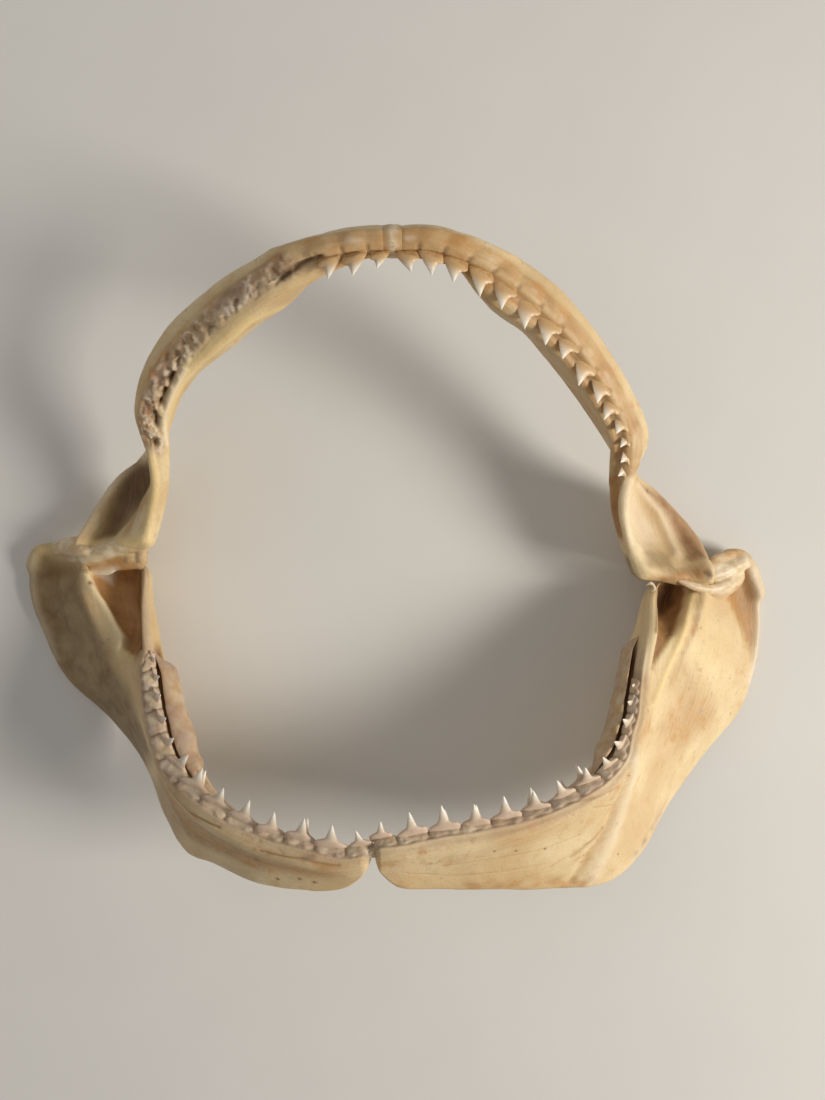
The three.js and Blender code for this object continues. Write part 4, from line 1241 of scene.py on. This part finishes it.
# Dried skin lies behind each lower row. Its profile runs from the rim beside the teeth to the foot of the
# skin: how far of the width, then how high over the tooth edge. The width is in millimetres by station.
flap = {
    "profile": [[0, -5], [0, -2.2], [0.1, -1.1], [0.35, -1.2], [0.65, -2.6], [0.88, -5], [1, -8.5],
                [0.95, -12], [0.6, -15.5]],
    "rows": 110, "steps": 22, "innerSteps": 10,
    "fade": 0.9, "endWidth": 0.12, "endHeight": 0.15, "endDrop": 2.2,
    "sideLumps": 0.45, "sideSize": 6, "topLumps": 0.35, "topSize": 4.5,
    "rimAt": 0.02, "rimWidth": 0.1, "rimUnder": -1.5, "rimAmber": 0.5, "rimDark": 0.6,
    "amber": 0.25, "dark": 0.16, "darkMore": 0.12, "darkSize": 9, "pinkMore": 0.4, "pinkSize": 6,
    "pale": 0.3, "paleSize": 5,
}
lowerLeft["skin"] = {"rim": 2.8, "pink": 0.35, "seed": 5,
                     "width": [[5.0, 4], [6, 6.6], [7, 6.8], [8, 6.2], [9, 5.2], [10.0, 4.2]]}
lowerRight["skin"] = {"rim": 2.8, "pink": 0.5, "seed": 9,
                      "width": [[5.0, 4], [6.2, 8], [7, 10.2], [8, 9.2], [9, 8.4], [9.8, 6.8], [10.3, 5]]}


def makeFlap(half):
    skin, rows = half["skin"], np.array(half["stations"], float)
    low, high = skin["width"][0][0], skin["width"][-1][0]
    station = np.linspace(low, high, flap["rows"])
    line = rail(rows[:, :3], station / (len(rows) - 1))
    level = unit(np.gradient(line, axis=0) * [1, 1, 0])
    inward = np.stack([level[:, 1], -level[:, 0], 0 * station], -1)
    inward *= -np.sign((inward * line).sum(1, keepdims=True))
    outer = rail(flap["profile"], np.linspace(0, 1, flap["steps"]))
    ring = np.vstack([outer, np.linspace(outer[-1], outer[0], flap["innerSteps"])[1:-1]])
    share, height = ring[None, :, 0], ring[None, :, 1]
    ends = smooth(np.minimum(station - low, high - station) / flap["fade"])[:, None]
    wide = along(skin["width"], station)[:, None] - skin["rim"]
    across = (skin["rim"] + wide * share) * (flap["endWidth"] + (1 - flap["endWidth"]) * ends)
    points = line[:, None] + inward[:, None] * across[..., None]
    shrunk = flap["endHeight"] + (1 - flap["endHeight"]) * ends
    points[..., 2] += height * shrunk - flap["endDrop"] * (1 - ends)
    uneven = flap["sideLumps"] * roughLumps(points, flap["sideSize"], skin["seed"])
    points += uneven[..., None] * inward[:, None]
    points[..., 2] += flap["topLumps"] * roughLumps(points, flap["topSize"], skin["seed"] + 1)
    # painted shade darkens the skin's rim wall beside the teeth, which is also browned
    rim = bell((share - flap["rimAt"]) / flap["rimWidth"]) * (height < flap["rimUnder"]) + 0 * across
    stains = flap["dark"] + flap["darkMore"] * lumps(points, flap["darkSize"], 6)
    shades = {"amber": flap["amber"] + flap["rimAmber"] * rim,
              "pink": skin["pink"] + flap["pinkMore"] * lumps(points, flap["pinkSize"], 4),
              "dark": stains + flap["rimDark"] * rim,
              "pale": flap["pale"] * smooth(lumps(points, flap["paleSize"], 9))}
    shades = {key: np.clip(value, 0, 1) for key, value in shades.items()}
    piece = makeMesh(half["node"] + "_skin", points.reshape(-1, 3), tubeFaces(*points.shape[:2]), shades)
    piece.data.materials.append(tissue)
    return piece


skins = [makeFlap(half) for half in (lowerLeft, lowerRight)]
print("skins behind the lower rows made")


# Dried membrane bridges the two rounded ends at each symphysis. It runs from one distance round the blade
# to another, in millimetres from the tooth edge.
seams = {
    "upper_symphysis": {"halves": (upperLeft, upperRight), "from": -9, "to": 13, "sag": 0.3, "sink": 0.6,
                        "thick": 1.2, "pale": 0.4, "gum": 0.1, "seed": 61},
    "lower_symphysis": {"halves": (lowerLeft, lowerRight), "from": -8, "to": 8, "sag": 2.4, "sink": 0.3,
                        "thick": 1.4, "pale": 0.3, "gum": 0.6, "seed": 67},
}
seamSheet = {"rows": 44, "columns": 16, "lumps": 0.3, "lumpSize": 3.5,
             "crestWidth": 0.12, "crestSize": 3.0, "gumWidth": 0.3, "amber": 0.55}


def makeSeam(node, spec):
    runs = np.linspace(spec["from"], spec["to"], seamSheet["rows"])
    sides = []
    for half in spec["halves"]:
        grid = half["grid"]
        row = bladeGrid["endPoints"]
        order = np.argsort(grid["around"][row])
        run = grid["around"][row, order]
        traced = []
        for layer in (grid["solid"], outwards(grid, grid["solid"])):
            line = layer[row, order]
            traced.append(np.stack([np.interp(runs, run, line[:, c]) for c in range(3)], -1))
        sides.append(traced)
    across = np.linspace(0, 1, seamSheet["columns"])[None, :, None]
    sagging = 4 * across * (1 - across)
    start, end = (side[0][:, None] for side in sides)
    out = unit(sides[0][1] + sides[1][1])[:, None]
    sheet = start * (1 - across) + end * across
    sheet = sheet - out * (spec["sink"] * (1 - 2 * sagging) + spec["sag"] * sagging)
    uneven = seamSheet["lumps"] * roughLumps(sheet, seamSheet["lumpSize"], spec["seed"])
    sheet = sheet + out * uneven[..., None] * sagging
    points = np.concatenate([sheet, (sheet - out * spec["thick"])[:, ::-1]], axis=1)
    middle = np.concatenate([across, across[:, ::-1]], axis=1)[..., 0] + 0 * points[..., 0] - 0.5
    wander = seamSheet["crestWidth"] * roughLumps(points, seamSheet["crestSize"], spec["seed"])
    crest = bell((middle + wander) / seamSheet["crestWidth"])
    shades = {"pale": spec["pale"] * crest, "gum": spec["gum"] * bell(middle / seamSheet["gumWidth"]),
              "amber": seamSheet["amber"] * (1 - crest)}
    piece = makeMesh(node + "_tissue", points.reshape(-1, 3), tubeFaces(*points.shape[:2]), shades)
    piece.data.materials.append(cartilage)
    return piece


# Each hinge is wrapped in ropes of ligament that melt into one another.
hinges = {
    "hinge_left": {
        "ropes": [
            {"line": [[126, -3.8, 26.5], [133, -6.0, 25], [140, -7.6, 22.5], [146.5, -7.4, 20],
                      [152.5, -4.6, 17.5], [157.5, 0.6, 15.5]],
             "thick": [1.2, 2.0, 2.4, 2.5, 2.4, 1.8], "amber": 0.25, "pale": 0.3},
            {"line": [[136, -10.5, 18.6], [143, -12.3, 16.6], [149.5, -11.6, 14.8], [156, -8.2, 13],
                      [161, -3, 11.4]],
             "thick": [0.6, 1.4, 1.8, 1.7, 1.2], "amber": 0.4, "pale": 0.15},
            {"line": [[141, -1.5, 19.5], [148, -0.6, 17], [155, 2, 13.6], [161, 4.6, 10.5],
                      [166, 4, 8]],
             "thick": [3.0, 4.0, 4.2, 4.0, 2.6], "pink": 0.2, "pale": 0.6},
            {"line": [[143, 4.4, 19], [149, 6.2, 15.5], [155.5, 7.8, 11.5], [161.5, 7.4, 8.5],
                      [167, 4, 7]],
             "thick": [1.6, 2.8, 3.4, 3.4, 2.6], "amber": 0.5, "dark": 0.1},
            {"line": [[136, -5.5, 20], [143, -7.5, 17.5], [150, -7.8, 14.5], [156.5, -4.4, 12],
                      [161.5, 1, 10]],
             "thick": [2.6, 3.6, 4.2, 4.2, 3.2], "amber": 0.35},
            {"line": [[140, 2, 20.5], [146, 2.6, 17.5], [152, 4.2, 14]],
             "thick": [2.0, 3.2, 3.2], "pink": 0.2, "pale": 0.4},
            {"line": [[111.4, -6.9, 31], [113.8, -5.4, 32], [115.7, -8.1, 31], [113.3, -9.6, 30]],
             "thick": [0.8, 1.0, 1.0, 0.7], "pale": 0.4},
        ],
        "seed": 71,
    },
    "hinge_right": {
        "ropes": [
            {"line": [[-110, 6.6, 32], [-115, 5.8, 31], [-122, 4, 28.5], [-130.1, 1.9, 25.5],
                      [-138.1, -0.6, 23], [-144.1, -3, 21]],
             "thick": [2.2, 3.2, 4.2, 4.4, 4.0, 3.0], "amber": 0.12, "pale": 0.3},
            {"line": [[-121, -3.2, 25], [-128.7, -5.3, 23.5], [-136.4, -6.4, 21.5], [-142.5, -8, 19],
                      [-146.8, -10.5, 16]],
             "thick": [1.4, 2.3, 2.8, 2.6, 1.4], "amber": 1.0, "dark": 0.1},
            {"line": [[-158, 3.9, 11], [-151.8, 2.2, 12.5], [-145.4, 0.5, 15], [-138.8, 0, 18]],
             "thick": [1.8, 2.8, 3.2, 2.8], "pink": 0.7, "pale": 0.2},
            {"line": [[-158.6, 3.9, 12], [-152.5, 5, 16], [-146.5, 5.6, 20], [-142.2, 4.8, 22]],
             "thick": [1.6, 2.6, 2.8, 1.6], "pink": 0.4, "pale": 0.15},
            {"line": [[-159.8, 1.1, 11], [-153.7, 1.7, 15], [-147, 1.9, 21], [-141.9, 1.6, 24],
                      [-136.6, 1.3, 25]],
             "thick": [1.8, 3.0, 3.3, 3.0, 2.2], "pink": 0.3, "pale": 0.1, "amber": 0.15},
            {"line": [[-156.3, -2.1, 10], [-148.6, -1.8, 16], [-141.4, -1.1, 21]],
             "thick": [1.8, 3.2, 2.8], "pink": 0.3, "amber": 0.3},
            {"line": [[-126.7, -6.6, 24.5], [-130.6, -8.5, 23.5], [-135.5, -8.8, 22]],
             "thick": [0.7, 1.0, 0.7], "pale": 0.9},
            {"line": [[-112, 6.5, 30.5], [-113, 1.5, 28], [-113.6, -3.8, 26]],
             "thick": [1.2, 1.8, 1.5], "amber": 0.2, "dark": 0.25},
            {"line": [[-112.9, 6, 30.5], [-114, 0.1, 28], [-115.6, -6, 24.5]],
             "thick": [2.2, 2.6, 2.0], "amber": 0.3, "dark": 0.35},
            {"line": [[-117.9, 4.5, 28.5], [-119, -0.9, 26], [-120.5, -5.5, 23]],
             "thick": [2.8, 3.4, 2.8], "amber": 0.7, "dark": 0.2},
            {"line": [[-112, -1, 28], [-115.5, -3, 26.5], [-121, -3.6, 24.5], [-129, -4.4, 22.5]],
             "thick": [2.0, 2.6, 3.0, 2.8], "amber": 0.7, "dark": 0.25},
            {"line": [[-148, -7, 15], [-142, -4, 18.5], [-134, -2.5, 21.5], [-126, 0, 24.5],
                      [-117, 1.5, 27]],
             "thick": [2.0, 3.0, 3.2, 3.0, 2.2], "amber": 0.8, "dark": 0.2},
        ],
        "seed": 79,
    },
}


ligament = {
    "steps": 26, "sides": 12, "endRound": 7, "endThin": 0.25, "lumps": 0.4, "lumpSize": 4,
    "voxel": 0.42, "soften": 0.6, "passes": 34, "blend": 2.2,
    "mottle": 0.7, "mottleMore": 0.5, "mottleSize": 6,
    "uneven": 0.2, "unevenSize": 6.0, "grooves": 0.08, "grooveSize": 2.2, "grooveStretch": [0.4, 1.5, 1],
}


def rope(points, radii, seed):  # an uneven rope of tissue
    t = np.linspace(0, 1, ligament["steps"])
    line = rail(points, t)
    ends = quarterRound(np.minimum(t, 1 - t) * ligament["endRound"])
    radius = np.interp(t, np.linspace(0, 1, len(radii)), radii)
    radius = (radius * (ligament["endThin"] + (1 - ligament["endThin"]) * ends))[:, None, None]
    forward = unit(np.gradient(line, axis=0))
    u = unit(np.array([0, 0, 1.0]) - forward * forward[:, 2:])
    v = np.cross(forward, u)
    turn = (2 * np.pi * np.arange(ligament["sides"]) / ligament["sides"])[None, :, None]
    places = line[:, None] + u[:, None] * (np.cos(turn) * radius) + v[:, None] * (np.sin(turn) * radius)
    uneven = ligament["lumps"] * lumps(places, ligament["lumpSize"], seed)
    return places + uneven[..., None] * u[:, None]


def makeHinge(node, spec):
    points, faces = [], []
    for number, part in enumerate(spec["ropes"]):
        grid = rope(part["line"], part["thick"], spec["seed"] + number)
        start = sum(len(p) for p in points)
        faces += [tuple(start + n for n in face) for face in tubeFaces(*grid.shape[:2])]
        points.append(grid.reshape(-1, 3))
    piece = makeMesh(node + "_tissue", np.vstack(points), faces)
    melt = piece.modifiers.new("melt", "REMESH")
    melt.mode, melt.voxel_size = "VOXEL", ligament["voxel"] * metre
    soften = piece.modifiers.new("soften", "SMOOTH")
    soften.factor, soften.iterations = ligament["soften"], ligament["passes"]
    settle(piece)
    places, out = pointsOf(piece), normalsOf(piece)
    near = np.array([bell(away(places, np.array(part["line"], float)) / ligament["blend"]) + 1e-4
                     for part in spec["ropes"]])
    lift = ligament["uneven"] * roughLumps(places, ligament["unevenSize"], spec["seed"])
    grooved = lumps(places * ligament["grooveStretch"], ligament["grooveSize"], spec["seed"] + 1)
    lift = lift + ligament["grooves"] * grooved
    movePoints(piece, places + out * lift[:, None])
    mottle = lumps(places, ligament["mottleSize"], spec["seed"] + 2)
    mottle = ligament["mottle"] + ligament["mottleMore"] * mottle
    for key in ("amber", "pink", "pale", "dark"):
        amounts = np.array([part.get(key, 0) for part in spec["ropes"]])[:, None]
        paint(piece, key, np.clip((near * amounts).sum(0) / near.sum(0) * mottle, 0, 1))
    piece.data.shade_smooth()
    piece.data.materials.clear()
    piece.data.materials.append(tissue)
    return piece


joints = {node: makeSeam(node, spec) for node, spec in seams.items()}
joints.update({node: makeHinge(node, spec) for node, spec in hinges.items()})
print("ligaments made")


# Loose fibres of dried skin: a spot, the way they point, how long they are and how many.
shreds = {
    "spots": [
        ([171.6, -41.4, 3], [1, 0.7, 0.3], 5.5, 3), ([-100.6, 48.6, 45], [1, -0.2, 0.4], 5.5, 3),
        ([-94.6, -48.6, 42.5], [0.8, 0.6, 0.6], 5.5, 3), ([-159.2, -54.2, 3], [-1, -0.6, 0.2], 5, 2),
        ([-106.5, 8.8, 36], [0.6, 0.9, 0.2], 4.5, 3), ([27.5, 128.5, 83], [1, 0.6, 0.4], 4, 2),
        ([-2, 119, 101.5], [-0.6, -0.5, 1], 4, 3), ([95, -78, 72], [-0.6, 0.5, 0.8], 4.5, 3),
        ([-78, -92, 74], [0.3, 0.8, 0.7], 4, 3), ([-60, 104.5, 89], [0.2, -1, 0.7], 3.5, 3),
        ([-86, 85, 75], [0.4, -0.8, 0.8], 3.5, 3), ([-104, 60, 59], [0.7, -0.3, 0.8], 3, 3),
    ],
    "thick": 0.16, "taper": 0.75, "usualLength": 5, "steps": 14, "sides": 6, "forms": 4, "seed": 97,
    "bend": (0.15, 0.5), "twist": (2, 5), "lengths": (0.6, 1.1),
    "spread": 0.35, "scatter": 0.5, "sink": 0.8, "pale": 0.6, "pink": 0.2,
}


def shredForm(name, draw):  # one curled fibre along z, 1 mm long before it is sized
    t = np.linspace(0, 1, shreds["steps"])
    bend, twist = draw.uniform(*shreds["bend"]), draw.uniform(*shreds["twist"])
    line = np.stack([bend * t**2 * np.cos(twist * t), bend * t**2 * np.sin(twist * t), t], -1)
    thin = shreds["thick"] * (1 - shreds["taper"] * t) / shreds["usualLength"]
    turn = 2 * np.pi * np.arange(shreds["sides"]) / shreds["sides"]
    ring = np.stack([np.cos(turn), np.sin(turn), 0 * turn], -1)
    points = line[:, None] + ring[None] * thin[:, None, None]
    shades = {key: np.full(points.shape[:2], shreds[key]) for key in ("pale", "pink")}
    return makeMesh(name, points.reshape(-1, 3), tubeFaces(*points.shape[:2]), shades)


def makeShreds():
    draw = np.random.default_rng(shreds["seed"])
    places = []
    for spot, way, long, count in shreds["spots"]:
        for _ in range(count):
            z = unit(unit(np.array(way, float)) + draw.normal(0, shreds["spread"], 3))
            x = unit(np.cross(z, [0.2, 0.4, 0.9]))
            stretch = long * draw.uniform(*shreds["lengths"])
            foot = np.array(spot) + draw.normal(0, shreds["scatter"], 3) - z * shreds["sink"]
            places.append({"foot": foot, "axes": (x, np.cross(z, x), z), "size": (stretch,) * 3,
                           "which": int(draw.integers(shreds["forms"]))})
    forms = [shredForm(f"fibre{n}", draw) for n in range(shreds["forms"])]
    return setInPlace("loose_fibres", tree, forms, places, tissue, shreds["seed"])


fibres = makeShreds()
print("loose fibres made")

for half, blade, row in zip(halves, blades, rows):
    for piece in (blade, row):
        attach(piece, "root")
    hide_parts(half["node"])
for piece in skins + [fibres]:
    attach(piece, "root")
for node, piece in joints.items():
    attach(piece, "root")
    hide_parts(node)


studio = {
    "floorSize": 14.0, "floor": ("e6e4e0", "e0deda"), "floorPatches": 60, "floorRough": 0.8,
    "key": {"at": (1.3, -0.2, 0.85), "size": 0.5, "power": 20.5, "colour": (1.0, 0.95, 0.87)},
    "fill": {"at": (-0.5, 0.35, 0.95), "size": 1.2, "power": 1.9, "colour": (1.0, 0.97, 0.93)},
    "aim": (0, 0, 0.04), "sky": (1, 0.97, 0.93, 1), "skyPower": 0.21,
}
view = {"at": (7.34, 6.22, 467), "roll": 1.6, "lens": 32, "frameHeight": 36, "nearest": 0.01}


def makeFloor():
    bpy.ops.mesh.primitive_plane_add(size=studio["floorSize"])
    floor = bpy.context.object
    floor.name = "floor"
    f = Finish("paleFloor")
    colour = f.shade(f.cloud(studio["floorPatches"], 2), studio["floor"])
    floor.data.materials.append(f.close({"Roughness": studio["floorRough"]}, Base_Color=colour))


def makeLamp(name, at, size, power, colour):
    lamp = bpy.data.objects.new(name, bpy.data.lights.new(name, "AREA"))
    lamp.data.size, lamp.data.energy, lamp.data.color = size, power, colour
    lamp.location = at
    lamp.rotation_euler = (Vector(studio["aim"]) - Vector(at)).to_track_quat("-Z", "Y").to_euler()
    bpy.context.scene.collection.objects.link(lamp)


makeFloor()
makeLamp("key", **studio["key"])
makeLamp("fill", **studio["fill"])
world = bpy.data.worlds.new("studio")
world.use_nodes = True
world.node_tree.nodes["Background"].inputs["Color"].default_value = studio["sky"]
world.node_tree.nodes["Background"].inputs["Strength"].default_value = studio["skyPower"]
bpy.context.scene.world = world
bpy.context.scene.view_settings.view_transform = "Standard"

camera = bpy.data.objects.new("camera", bpy.data.cameras.new("camera"))
camera.location = [c * metre for c in view["at"]]
camera.rotation_euler = (0, 0, math.radians(view["roll"]))
camera.data.sensor_fit, camera.data.sensor_height = "VERTICAL", view["frameHeight"]
camera.data.lens, camera.data.clip_start = view["lens"], view["nearest"]
bpy.context.scene.collection.objects.link(camera)
bpy.context.scene.camera = camera
print("floor, lamps and camera placed")
